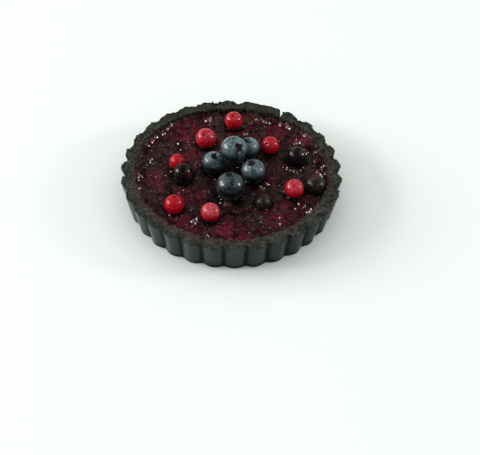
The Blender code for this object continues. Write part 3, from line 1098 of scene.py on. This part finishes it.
def set_berry_jelly(tree, place, jelly):
    """Set jelly of red and black berries. It is clear dark red where flesh lies near the top,
    near-black where it is deep, and brown where skins and seeds show, all under a wet gloss.
    Round the berries shade is painted black, with dark pools at random, and the gloss is turned
    down there; pale specks are painted glints of the gloss."""
    fruit, red, brown, peel, shade = (
        add_node(tree, "ShaderNodeAttribute", attribute_name=name).outputs["Fac"]
        for name in ("fruit", "red", "brown", "peel", "shade"))
    pulp = add_node(tree, "ShaderNodeTexNoise",
                    {"Vector": place, "Scale": per_metre(4.2 * MM), "Detail": 1.0,
                     "Distortion": 0.8})
    skins = add_node(tree, "ShaderNodeTexNoise",
                     {"Vector": place, "Scale": per_metre(2.0 * MM), "Detail": 1.5,
                      "Distortion": 0.5, "Roughness": 0.5})
    # Pulp grains are about 0.5 mm, and drawn at three times that to show. Their pale specks are
    # painted glints of the wet gloss; their dark specks darken it at random.
    grains = add_node(tree, "ShaderNodeTexNoise",
                      {"Vector": place, "Scale": per_metre(1.5 * MM), "Detail": 2.0,
                       "Distortion": 0.8, "Roughness": 0.6})
    thick = add_node(tree, "ShaderNodeMapRange",
                     {"Value": pulp, "From Min": 0.36, "From Max": 0.58, "To Min": 0.2})
    shred = add_node(tree, "ShaderNodeMapRange", {"Value": skins, "From Min": 0.4, "From Max": 0.6})
    painted_glint_share = add_node(tree, "ShaderNodeMapRange", {"Value": brown, "To Min": 0.3})
    # The pale grains are painted glints; the last layer is the painted shade round the berries,
    # with the dark pools.
    body = lay_over(tree, jelly.deep_colour, (
        (thick, 0.0, 1.0, 1.0, red, jelly.flesh_colour),
        (shred, 0.0, 1.0, 1.0, brown, jelly.seed_colour),
        (fruit, 0.0, 1.0, 1.0, thick, jelly.fruit_colour),
        (fruit, 0.0, -1.0, 1.0, shred, jelly.skin_colour),
        (grains, 0.47, 0.34, 0.5, 1.0, jelly.shade_colour),
        (grains, 0.54, 0.7, 0.35, painted_glint_share, jelly.painted_glint_colour),
        (peel, 0.0, 1.0, 0.85, 1.0, jelly.amber_colour),
        (peel, 0.0, -1.0, 0.85, 1.0, jelly.cloudy_colour),
        (shade, 0.0, 1.0, 1.0, 1.0, jelly.shade_colour),
    ))
    bump = add_node(tree, "ShaderNodeBump",
                    {"Height": grains, "Strength": 0.9, "Distance": 0.8 * MM})
    # The gloss is turned down where the shade is painted.
    glint = add_node(tree, "ShaderNodeMapRange", {"Value": shade, "To Min": 0.5, "To Max": 0.12})
    return {"Base Color": body, "Normal": bump, "Roughness": 0.16, "IOR": 1.38,
            "Specular IOR Level": glint}


class TART_OT_chips(bpy.types.Operator):
    """Adds the small wet chips of fruit that stand tilted out of the jelly and catch the light"""
    bl_idname = "tart.chips"
    bl_label = "Wet chips in the jelly"

    def execute(self, context):
        crust, jelly = context.scene.tart_crust, context.scene.tart_jelly
        chance = np.random.default_rng(CHIP_SEED)
        spots = []
        for (x, y), count, spread in CHIP_GROUPS:
            spots += [(x + chance.normal() * spread, y + chance.normal() * spread)
                      for _ in range(round(1.5 * count))]
        grouped = len(spots)
        for _ in range(LONE_CHIPS):
            reach, turn = CHIP_FIELD * math.sqrt(chance.random()), FULL_TURN * chance.random()
            spots.append((reach * math.cos(turn), reach * math.sin(turn)))
        count = len(spots)
        centres = np.zeros((count, 3))
        centres[:, :2] = np.array(spots) * MM
        lone = np.arange(count) >= grouped
        sizes = np.where(lone, LONE_CHIP[0] + LONE_CHIP[1] * chance.random(count) ** 2,
                         GROUPED_CHIP[0] + GROUPED_CHIP[1] * chance.random(count)) * MM
        left, right = (reaches(centres, light) for light in CHIP_LIGHTS)
        pick = np.where(left & right, chance.integers(0, 2, count), np.where(left, 0, 1))
        turns = np.array(CHIP_TURNS)[pick]
        ways = np.column_stack((math.sin(CHIP_SLOPE) * np.cos(turns),
                                math.sin(CHIP_SLOPE) * np.sin(turns),
                                np.full(count, math.cos(CHIP_SLOPE))))
        ways += chance.normal(size=(count, 3)) * np.where(lone, 3 * CHIP_SWAY, CHIP_SWAY)[:, None]
        keep = clear_of_berries(centres, sizes)
        keep &= across(centres) < inner_radius(around(centres), crust) + 0.1 * sizes
        centres, sizes, ways = centres[keep], sizes[keep], ways[keep]
        centres[:, 2] = JELLY_LEVEL + jelly_relief(centres, crust, jelly) + 0.1 * sizes
        piece = scattered("jelly_chips", centres, sizes, chance, 0.015, CHIP_SHAPE, 2, ways)
        finish_piece(piece, new_material(glazed_berry_chip, jelly), "jelly")
        return {"FINISHED"}


def reaches(centres, light):
    """Which spots on the jelly a light reaches past the berries and over the rim."""
    way = np.array(light) / np.linalg.norm(light)
    start = centres + (0, 0, JELLY_LEVEL + 1 * MM)
    free = np.ones(len(start), bool)
    for node in BERRIES:
        centre, radius = node_ball(node)
        apart = np.array(centre) - start
        ahead = apart @ way
        aside = np.linalg.norm(apart - ahead[:, None] * way, axis=1)
        free &= (ahead < 0) | (aside > radius)
    outward = start[:, :2] @ way[:2]
    room = RIM_REACH ** 2 - across(start) ** 2
    level = way[:2] @ way[:2]
    length_to_rim = (np.sqrt(outward ** 2 + room * level) - outward) / level
    return free & (start[:, 2] + length_to_rim * way[2] > RIM_LINE + 0.5 * MM)


def glazed_berry_chip(tree, place, jelly):
    """Slivers of berry skin and flesh under clear sugar glaze: dark red to brown, very shiny."""
    tone = add_node(tree, "ShaderNodeTexNoise",
                    {"Vector": place, "Scale": per_metre(2.5 * MM), "Detail": 1.0})
    body = lay_over(tree, jelly.seed_colour, ((tone, 0.4, 0.6, 1.0, 1.0, jelly.flesh_colour),))
    return {"Base Color": body, "Roughness": 0.07, "IOR": 1.56}


class TART_OT_seeds(bpy.types.Operator):
    """Scatters the small pale pips of the berries, half sunk in the jelly"""
    bl_idname = "tart.seeds"
    bl_label = "Berry pips"

    def execute(self, context):
        crust, jelly = context.scene.tart_crust, context.scene.tart_jelly
        chance = np.random.default_rng(PIP_SEED)
        reach = PIP_FIELD * np.sqrt(chance.random(PIP_TRIES))
        turn = FULL_TURN * chance.random(PIP_TRIES)
        centres = np.column_stack((reach * np.cos(turn), reach * np.sin(turn), 0 * turn))
        sizes = (PIP[0] + PIP[1] * chance.random(PIP_TRIES)) * MM
        _, brown, _ = jelly_patches(centres)
        keep = clear_of_berries(centres, sizes) & (brown + 0.25 * chance.random(PIP_TRIES) > 0.35)
        keep &= across(centres) < inner_radius(around(centres), crust) - sizes
        centres, sizes = centres[keep], sizes[keep]
        centres[:, 2] = JELLY_LEVEL + jelly_relief(centres, crust, jelly) - 0.1 * sizes
        piece = scattered("berry_pips", centres, sizes, chance, 0.1, PIP_SHAPE, 1)
        finish_piece(piece, new_material(glazed_berry_pip, jelly), "jelly")
        return {"FINISHED"}


def glazed_berry_pip(tree, place, jelly):
    """Hard little pips of berries under a film of glaze: dull tan, a little glossy."""
    tone = add_node(tree, "ShaderNodeTexNoise",
                    {"Vector": place, "Scale": per_metre(3 * MM), "Detail": 1.0})
    body = lay_over(tree, jelly.seed_colour, ((tone, 0.35, 0.65, 1.0, 1.0, jelly.pip_colour),))
    return {"Base Color": body, "Roughness": 0.25}


def clear_of_berries(centres, sizes):
    keep = np.ones(len(centres), bool)
    for node in BERRIES:
        centre, radius = node_ball(node)
        if centre.z - radius < JELLY_LEVEL:
            keep &= from_line(centres, centre.x, centre.y) > waterline(node) + sizes
    return keep


def waterline(node):
    """Radius of the circle in which a berry meets the jelly's level."""
    centre, radius = node_ball(node)
    lift = centre.z - JELLY_LEVEL - 0.4 * MM
    return math.sqrt(max(radius ** 2 - lift ** 2, 0.0))


class TART_OT_wet_rings(bpy.types.Operator):
    """Adds the wet ring of glaze that climbs each berry where it stands in the jelly"""
    bl_idname = "tart.wet_rings"
    bl_label = "Wet rings"

    def execute(self, context):
        crust, jelly = context.scene.tart_crust, context.scene.tart_jelly
        rings = []
        for node in BERRIES:
            centre, radius = node_ball(node)
            if centre.z - radius > JELLY_LEVEL:
                continue
            line = waterline(node)
            ridge = RING_RIDGE if node in DARK_BERRIES else 0.0
            curve = [(line + RING_REACH * share,
                      RING_RISE * (1 - share) ** 2.2 - 0.25 * MM * share
                      + ridge * math.exp(-((share - 0.7) / 0.14) ** 2)) for share in RING_SHARES]
            curve += [(line + RING_REACH, -RING_FOOT), (line - RING_INSIDE, -RING_FOOT),
                      (line - RING_INSIDE, RING_RISE * 0.8), curve[0]]
            ring = turned("ring", curve, RING_COLUMNS)
            points = read_points(ring.data)
            spot = np.zeros_like(points)
            spot[:] = (centre.x, centre.y, 0.0)
            spot[:, :2] += points[:, :2]
            level = jelly_relief(spot, crust, jelly)
            wave = 1 + 0.7 * soft(spot, 3 * MM, 3.0)
            out = np.clip(across(points) - line, 0, None) / np.maximum(across(points), MM)
            points[:, :2] *= (1 + 0.9 * out * soft(spot, 4 * MM, 6.0))[:, None]
            points[:, 2] = JELLY_LEVEL + points[:, 2] * wave + np.clip(level, -0.2 * MM, 0.45 * MM)
            points[:, :2] += (centre.x, centre.y)
            write_points(ring.data, points)
            rings.append(ring)
        piece = join("glaze_rings", rings)
        colour_jelly(piece, np.zeros(len(piece.data.vertices)))
        finish_piece(piece, bpy.data.materials["set_berry_jelly"], "jelly")
        return {"FINISHED"}


def join(name, pieces):
    deselect_all()
    for piece in pieces:
        piece.select_set(True)
    bpy.context.view_layer.objects.active = pieces[0]
    bpy.ops.object.join()
    pieces[0].name = pieces[0].data.name = name
    return pieces[0]


# ---------------------------------------------------------------------------------------
# The berries


def ball_profile(turn):
    """A ball's half outline, from (angle from its eye in degrees, radius) pairs."""
    return [(MODEL_RADIUS * reach * math.sin(math.radians(polar)),
             MODEL_RADIUS * reach * math.cos(math.radians(polar))) for polar, reach in turn]


def blueberry_profile(berry):
    """From the bottom of the crown's hollow over its raised ring to the foot."""
    hollow = 1 - berry.crown_depth
    ring = math.degrees(berry.crown_angle)
    turn = [(0, hollow), (4, hollow), (8, hollow + 0.005), (ring * 0.6, hollow + 0.02),
            (ring * 0.72, hollow + 0.07), (ring * 0.8, 0.95), (ring * 0.88, 0.995),
            (ring, 1.012), (ring * 1.12, 1.005), (ring * 1.3, 0.988), (ring * 1.6, 0.99)]
    return ball_profile(turn + [(polar, 1.0) for polar in np.linspace(ring * 1.9, 180, 44)])


def dimpled_profile(depth, width):
    """A plain ball with a shallow dimple at its eye."""
    polars = np.concatenate((np.linspace(0, 30, 12), np.linspace(35, 180, 34)))
    return ball_profile([(polar, 1 - depth * math.exp(-(polar / width) ** 2))
                         for polar in polars])


def copies(name, profile, columns, nodes):
    """A copy of one turned berry for each solid, each with its own mesh."""
    model = turned(name + "_model", profile, columns)
    pieces = []
    for number in range(len(nodes)):
        piece = model.copy()
        piece.data = model.data.copy()
        piece.name = piece.data.name = f"{name}_{number + 1}"
        bpy.context.scene.collection.objects.link(piece)
        pieces.append(piece)
    bpy.data.objects.remove(model)
    return pieces


def dented(points, depth, size, number):
    """A berry's points with soft dents, which are different for each number."""
    return points * (1 + depth * soft(points, size, 10.0 * number)[:, None])


def settle(piece, points, node, eye, spin=0.0):
    """Turns a berry's points so that its eye looks the given way and sets them down in the box
    of its solid, leaving the object itself at the origin."""
    write_points(piece.data, points)
    turn = Vector(eye).to_track_quat("Z", "Y").to_matrix().to_4x4()
    middle = Matrix.Translation(node_ball(node)[0])
    piece.data.transform(middle @ turn @ Matrix.Rotation(spin, 4, "Z"))
    write_points(piece.data, np.clip(read_points(piece.data), *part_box(node)))


class TART_OT_blueberries(bpy.types.Operator):
    """Makes the blueberries, each with its bloom and its star-shaped crown"""
    bl_idname = "tart.blueberries"
    bl_label = "Blueberries"

    def execute(self, context):
        berry = context.scene.tart_blueberry
        pieces = copies("blueberry_skin", blueberry_profile(berry), berry.columns, BLUEBERRIES)
        material = new_material(bloomed_blueberry_skin, berry)
        for number, (piece, node) in enumerate(zip(pieces, BLUEBERRIES)):
            radius = node_ball(node)[1]
            points = read_points(piece.data) / MODEL_RADIUS
            crown = shape_crown(points, berry, number)
            points *= (radius, radius, radius * berry.height)
            points = dented(points, 0.012, 4.5 * MM, number)
            settle(piece, points, node, BLUEBERRY_EYES[number], BLUEBERRY_SPINS[number])
            add_attribute(piece.data, "crown", crown)
            # Painted light and shade: the bloom is full where the skin faces up and fades to the
            # near-black skin below, as light falls from above.
            upward = read_normals(piece.data)[:, 2]
            shade_line = BLUEBERRY_SHADE_LINE[number]
            bloom_and_painted_light = BLUEBERRY_BLOOM[number] * smooth_step(shade_line, shade_line + 1.1, upward)
            add_attribute(piece.data, "bloom_and_painted_light", bloom_and_painted_light)
            finish_piece(piece, material, "blueberry_skin", node)
        return {"FINISHED"}


def shape_crown(points, berry, number):
    """Cuts the ring into five ragged flaps, and says how far each point is in the crown."""
    polar = np.degrees(np.arccos(np.clip(points[:, 2] / np.linalg.norm(points, axis=1), -1, 1)))
    turn = around(points)
    ragged = soft(np.column_stack((np.cos(turn), np.sin(turn), 0 * turn)) * 0.01,
                  4 * MM, 5.0 * number)
    flap = 0.5 + 0.5 * np.cos(CROWN_FLAPS * turn + 0.5 * ragged)
    ring = math.degrees(berry.crown_angle)
    on_ring = np.exp(-((polar - ring) / (0.22 * ring)) ** 2)
    lift = on_ring * (0.05 * (flap ** 1.5 - 0.45) + 0.02 * ragged)
    points *= (1 + lift)[:, None]
    edge = ring * (0.8 + 0.16 * flap + 0.1 * ragged)
    return smooth_step(edge + 2.0, edge - 2.0, polar)


def bloomed_blueberry_skin(tree, place, berry):
    """Thin waxy blueberry skin. The bloom is a pale blue-grey dust, thin or rubbed off in
    places so that the near-black skin shows, with a soft sheen; the crown is dark and dry.
    Painted light and shade also make the bloom full on the upper side and fade it away below."""
    crown, bloom_and_painted_light = (
        add_node(tree, "ShaderNodeAttribute", attribute_name=name).outputs["Fac"]
        for name in ("crown", "bloom_and_painted_light"))
    rubbed = add_node(tree, "ShaderNodeTexNoise",
                      {"Vector": place, "Scale": per_metre(4.5 * MM), "Detail": 5.0,
                       "Roughness": 0.62, "Distortion": 0.9})
    # Wax dust is far finer than a pixel, so it is drawn as coarse as it needs to show.
    dust = add_node(tree, "ShaderNodeTexNoise",
                    {"Vector": place, "Scale": per_metre(0.9 * MM), "Detail": 3.0})
    cover = add_node(tree, "ShaderNodeMapRange",
                     {"Value": rubbed, "From Min": 0.32, "From Max": 0.64, "To Min": 0.12,
                      "To Max": 1.15}, interpolation_type="SMOOTHSTEP")
    even = add_node(tree, "ShaderNodeMapRange",
                    {"Value": dust, "From Min": 0.32, "From Max": 0.66, "To Min": 0.45,
                     "To Max": 1.15}, interpolation_type="SMOOTHSTEP")
    bloom = add_node(tree, "ShaderNodeMath", {0: cover, 1: even}, operation="MULTIPLY")
    # This mask carries the painted light: the bloom shows on top and fades below.
    bloom = add_node(tree, "ShaderNodeMath", {0: bloom, 1: bloom_and_painted_light}, operation="MULTIPLY")
    body = lay_over(tree, berry.skin_colour, (
        (bloom, 0.0, 1.0, 1.0, 1.0, berry.bloom_colour),
        (crown, 0.0, 1.0, 1.0, 1.0, berry.crown_colour),
    ))
    bump = add_node(tree, "ShaderNodeBump", {"Height": dust, "Strength": 0.3, "Distance": 0.2 * MM})
    polish = add_node(tree, "ShaderNodeMapRange",
                      {"Value": rubbed, "From Min": 0.3, "From Max": 0.65, "To Min": 0.22,
                       "To Max": 0.34})
    dry = add_node(tree, "ShaderNodeMath", {0: polish, 1: crown}, operation="MAXIMUM")
    return {"Base Color": body, "Normal": bump, "Roughness": dry, "IOR": 1.45, "Sheen Weight": 0.17,
            "Sheen Roughness": 0.35, "Sheen Tint": berry.haze_colour, "Coat Weight": 0.5,
            "Coat Roughness": 0.07}


class TART_OT_red_berries(bpy.types.Operator):
    """Makes the red berries, each with its dimple and a pale frosted upper side that is partly
    painted sheen
    """
    bl_idname = "tart.red_berries"
    bl_label = "Red berries"

    def execute(self, context):
        berry = context.scene.tart_red_berry
        pieces = copies("red_berry_skin", dimpled_profile(0.11, 8.5), berry.columns, RED_BERRIES)
        material = new_material(red_berry_skin, berry)
        for number, (piece, node) in enumerate(zip(pieces, RED_BERRIES)):
            centre, radius = node_ball(node)
            points = read_points(piece.data) / MODEL_RADIUS
            polar = np.degrees(np.arctan2(across(points), points[:, 2]))
            points = dented(points * radius, 0.014, 4 * MM, number)
            settle(piece, points, node, RED_BERRY_EYES[number])
            around_middle = read_points(piece.data) - centre
            upward = around_middle[:, 2] / radius
            # Painted sheen: the pale frosting is fuller towards the top, partly standing in for the
            # sheen of light from above.
            frost_and_sheen = smooth_step(-0.2, 1.0, upward + 0.35 * soft(around_middle, 2.5 * MM, number))
            add_attribute(piece.data, "frost_and_sheen", frost_and_sheen * RED_BERRY_FROST_AND_SHEEN[number])
            add_attribute(piece.data, "eye", smooth_step(11.0, 5.0, polar))
            finish_piece(piece, material, "red_berry_skin", node)
        return {"FINISHED"}


def red_berry_skin(tree, place, berry):
    """Smooth thin skin over red flesh. It is deep crimson and glossy, and a thin pale bloom
    makes the upper side pink. That the pink is fuller on top is partly a painted sheen of the
    light from above."""
    frost_and_sheen, eye = (
        add_node(tree, "ShaderNodeAttribute", attribute_name=name).outputs["Fac"]
        for name in ("frost_and_sheen", "eye"))
    patch = add_node(tree, "ShaderNodeTexNoise",
                     {"Vector": place, "Scale": per_metre(1.6 * MM), "Detail": 4.0})
    broken = add_node(tree, "ShaderNodeMapRange",
                      {"Value": patch, "From Min": 0.36, "From Max": 0.64, "To Min": 0.2,
                       "To Max": 1.5}, interpolation_type="SMOOTHSTEP")
    cover = add_node(tree, "ShaderNodeMath", {0: frost_and_sheen, 1: broken}, operation="MULTIPLY")
    body = lay_over(tree, berry.skin_colour, (
        (patch, 0.5, 0.32, 0.35, 1.0, berry.eye_colour),
        (cover, 0.0, 1.0, 1.0, 1.0, berry.frost_and_sheen_colour),
        (eye, 0.0, 1.0, 1.0, 1.0, berry.eye_colour),
    ))
    dull = add_node(tree, "ShaderNodeMapRange",
                    {"Value": cover, "From Max": 0.5, "To Min": 0.1, "To Max": 0.36})
    return {"Base Color": body, "Roughness": dull, "IOR": 1.42, "Subsurface Weight": 0.15,
            "Subsurface Scale": 1.0, "Subsurface Radius": (2.0 * MM, 0.4 * MM, 0.4 * MM)}


class TART_OT_dark_berries(bpy.types.Operator):
    """Makes the near-black berries, wet with glaze"""
    bl_idname = "tart.dark_berries"
    bl_label = "Dark berries"

    def execute(self, context):
        berry = context.scene.tart_dark_berry
        pieces = copies("dark_berry_skin", dimpled_profile(0.07, 10.0), berry.columns,
                        DARK_BERRIES)
        material = new_material(black_currant_skin, berry)
        for number, (piece, node) in enumerate(zip(pieces, DARK_BERRIES)):
            points = read_points(piece.data) / MODEL_RADIUS * node_ball(node)[1]
            points = dented(points, 0.02, 3.5 * MM, number)
            settle(piece, points, node, DARK_BERRY_EYES[number])
            every = np.ones(len(points))
            add_attribute(piece.data, "fleck", every * DARK_BERRY_FLECKS[number])
            add_attribute(piece.data, "dull", every * DARK_BERRY_DULL[number])
            finish_piece(piece, material, "dark_berry_skin", node)
        return {"FINISHED"}


def black_currant_skin(tree, place, berry):
    """Tight skin of black currants under wet glaze: near-black, glossy, with brown and dull red
    flecks where the skin is thin."""
    worn, dull = (
        add_node(tree, "ShaderNodeAttribute", attribute_name=name).outputs["Fac"]
        for name in ("fleck", "dull"))
    fleck = add_node(tree, "ShaderNodeTexNoise",
                     {"Vector": place, "Scale": per_metre(2.6 * MM), "Detail": 3.0,
                      "Distortion": 0.5})
    veil = add_node(tree, "ShaderNodeTexNoise",
                    {"Vector": place, "Scale": per_metre(1.4 * MM), "Detail": 3.0})
    body = lay_over(tree, berry.skin_colour, (
        (fleck, 0.53, 0.7, 0.8, worn, berry.fleck_colour),
        (veil, 0.35, 0.65, 1.0, dull, berry.dull_colour),
    ))
    bump = add_node(tree, "ShaderNodeBump",
                    {"Height": fleck, "Strength": 0.25, "Distance": 0.3 * MM})
    gloss = add_node(tree, "ShaderNodeMapRange", {"Value": dull, "To Min": 0.14, "To Max": 0.5})
    return {"Base Color": body, "Normal": bump, "Roughness": gloss, "IOR": 1.42,
            "Sheen Weight": 0.05, "Sheen Roughness": 0.3, "Sheen Tint": berry.haze_colour}


# ---------------------------------------------------------------------------------------
# The stage


def softbox(name, towards, distance, width, height, radiance):
    """A studio light that faces the tart from the given direction."""
    light = bpy.data.lights.new(name, "AREA")
    light.shape = "RECTANGLE"
    light.size = width
    light.size_y = height
    light.energy = radiance * math.pi * width * height
    lamp = bpy.data.objects.new(name, light)
    bpy.context.scene.collection.objects.link(lamp)
    lamp.location = Vector(towards).normalized() * distance
    lamp.rotation_euler = Vector(towards).to_track_quat("Z", "Y").to_euler()
    lamp.visible_camera = False


def studio_air():
    """Light from the room. It is even on matt things. Gloss mirrors a dimmer room, darkest in
    front, with a glow high up at both sides and a pale backdrop low behind the tart."""
    world = bpy.data.worlds.new("studio")
    bpy.context.scene.world = world
    tree = emptied(world)
    way = add_node(tree, "ShaderNodeTexCoord").outputs["Generated"]
    parts = add_node(tree, "ShaderNodeSeparateXYZ", {"Vector": way}).outputs
    air = add_node(tree, "ShaderNodeMapRange",
                   {"Value": parts["Z"], "To Min": AIR_LOW, "To Max": AIR_HIGH})
    mirrored = add_node(tree, "ShaderNodeMapRange",
                        {"Value": parts["Y"], "From Min": -0.7, "From Max": 0.4,
                         "To Min": MIRRORED_FRONT, "To Max": MIRRORED_BACK})
    aside = add_node(tree, "ShaderNodeMath", {0: parts["X"]}, operation="ABSOLUTE")
    glows = ((aside, 0.3, 0.8, MIRRORED_GLOW, 0.3, 0.6),
             (parts["Y"], 0.3, 0.7, MIRRORED_BACKDROP, 0.22, 0.1))
    for outward, start, full, most, bottom, top in glows:
        glow = add_node(tree, "ShaderNodeMapRange",
                        {"Value": outward, "From Min": start, "From Max": full, "To Max": most})
        level = add_node(tree, "ShaderNodeMapRange",
                         {"Value": parts["Z"], "From Min": bottom, "From Max": top})
        glow = add_node(tree, "ShaderNodeMath", {0: glow, 1: level}, operation="MULTIPLY")
        mirrored = add_node(tree, "ShaderNodeMath", {0: mirrored, 1: glow}, operation="ADD")
    ray = add_node(tree, "ShaderNodeLightPath").outputs
    strength = add_node(tree, "ShaderNodeMix",
                        {SHARE: ray["Is Glossy Ray"], FIRST: air, SECOND: mirrored})
    strength = add_node(tree, "ShaderNodeMix",
                        {SHARE: ray["Is Camera Ray"], FIRST: strength, SECOND: SEEN_AIR})
    air = add_node(tree, "ShaderNodeBackground", {"Color": AIR_COLOUR, "Strength": strength})
    add_node(tree, "ShaderNodeOutputWorld", {"Surface": air})


class TART_OT_stage(bpy.types.Operator):
    """Sets the pale floor, the studio lights and the camera"""
    bl_idname = "tart.stage"
    bl_label = "Floor, lights and camera"

    def execute(self, context):
        stage = context.scene.tart_stage
        deselect_all()
        bpy.ops.mesh.primitive_plane_add(size=6.0)
        floor = context.object
        floor.name = "floor"
        floor.data.materials.append(new_material(matt_paper, stage))
        studio_air()
        for light in STUDIO_LIGHTS:
            softbox(*light)
        aim_camera(stage)
        context.scene.view_settings.view_transform = "Standard"
        return {"FINISHED"}


def matt_paper(tree, place, stage):
    """Seamless matt backdrop paper. For gloss it is painted brighter on the left than on the right,
    as painted light.
    """
    ray = add_node(tree, "ShaderNodeLightPath").outputs
    parts = add_node(tree, "ShaderNodeSeparateXYZ", {"Vector": place}).outputs
    away = add_node(tree, "ShaderNodeMapRange",
                    {"Value": parts["X"], "From Min": -60 * MM, "From Max": -5 * MM})
    gloss = add_node(tree, "ShaderNodeMix",
                     {SHARE: away, UNDER: stage.bright_colour, OVER: stage.mirrored_colour},
                     data_type="RGBA")
    seen = add_node(tree, "ShaderNodeMix",
                    {SHARE: ray["Is Glossy Ray"], UNDER: stage.floor_colour, OVER: gloss},
                    data_type="RGBA")
    return {"Base Color": seen, "Roughness": 0.7, "Specular IOR Level": 0.2}


def aim_camera(stage):
    """The camera stands in front and looks down, so that the tart's origin falls on its place
    in the picture."""
    camera = bpy.data.cameras.new("camera")
    camera.sensor_width = 36.0
    camera.lens = camera.sensor_width * PIXELS_PER_RADIAN / PICTURE[0]
    camera.clip_start = 0.05
    holder = bpy.data.objects.new("camera", camera)
    bpy.context.scene.collection.objects.link(holder)
    back = Vector((0, -math.cos(stage.elevation), math.sin(stage.elevation)))
    holder.location = back * stage.distance
    aside = (ORIGIN_PIXEL[0] - PICTURE[0] / 2) / PIXELS_PER_RADIAN
    above = (PICTURE[1] / 2 - ORIGIN_PIXEL[1]) / PIXELS_PER_RADIAN
    level = Matrix.Rotation(math.pi / 2 - stage.elevation, 3, "X")
    tilted = level @ Matrix.Rotation(stage.roll, 3, "Z")
    shift = Vector((aside, above, -1)).rotation_difference(Vector((0, 0, -1))).to_matrix()
    holder.rotation_euler = (tilted @ shift).to_euler()
    bpy.context.scene.camera = holder


# ---------------------------------------------------------------------------------------
# The add-on


OPERATORS = (
    TART_OT_crust,
    TART_OT_crumbs,
    TART_OT_jelly,
    TART_OT_chips,
    TART_OT_seeds,
    TART_OT_wet_rings,
    TART_OT_blueberries,
    TART_OT_red_berries,
    TART_OT_dark_berries,
    TART_OT_stage,
)


class TART_PT_panel(bpy.types.Panel):
    """Lists the tart's pieces and their settings"""
    bl_idname = "TART_PT_panel"
    bl_label = "Berry tart"
    bl_space_type = "VIEW_3D"
    bl_region_type = "UI"
    bl_category = "Tart"

    def draw(self, context):
        for operator in OPERATORS:
            self.layout.operator(operator.bl_idname)
        for name, group in SETTINGS.items():
            box = self.layout.box()
            for setting in group.__annotations__:
                box.prop(getattr(context.scene, name), setting)


def register():
    for kind in (*SETTINGS.values(), *OPERATORS, TART_PT_panel):
        bpy.utils.register_class(kind)
    for name, group in SETTINGS.items():
        setattr(bpy.types.Scene, name, PointerProperty(type=group))


def unregister():
    for name in SETTINGS:
        delattr(bpy.types.Scene, name)
    for kind in reversed((*SETTINGS.values(), *OPERATORS, TART_PT_panel)):
        bpy.utils.unregister_class(kind)


def main():
    register()
    bpy.ops.tart.crust()
    bpy.ops.tart.crumbs()
    bpy.ops.tart.jelly()
    bpy.ops.tart.chips()
    bpy.ops.tart.seeds()
    bpy.ops.tart.wet_rings()
    bpy.ops.tart.blueberries()
    bpy.ops.tart.red_berries()
    bpy.ops.tart.dark_berries()
    bpy.ops.tart.stage()


if __name__ == "__main__":
    main()
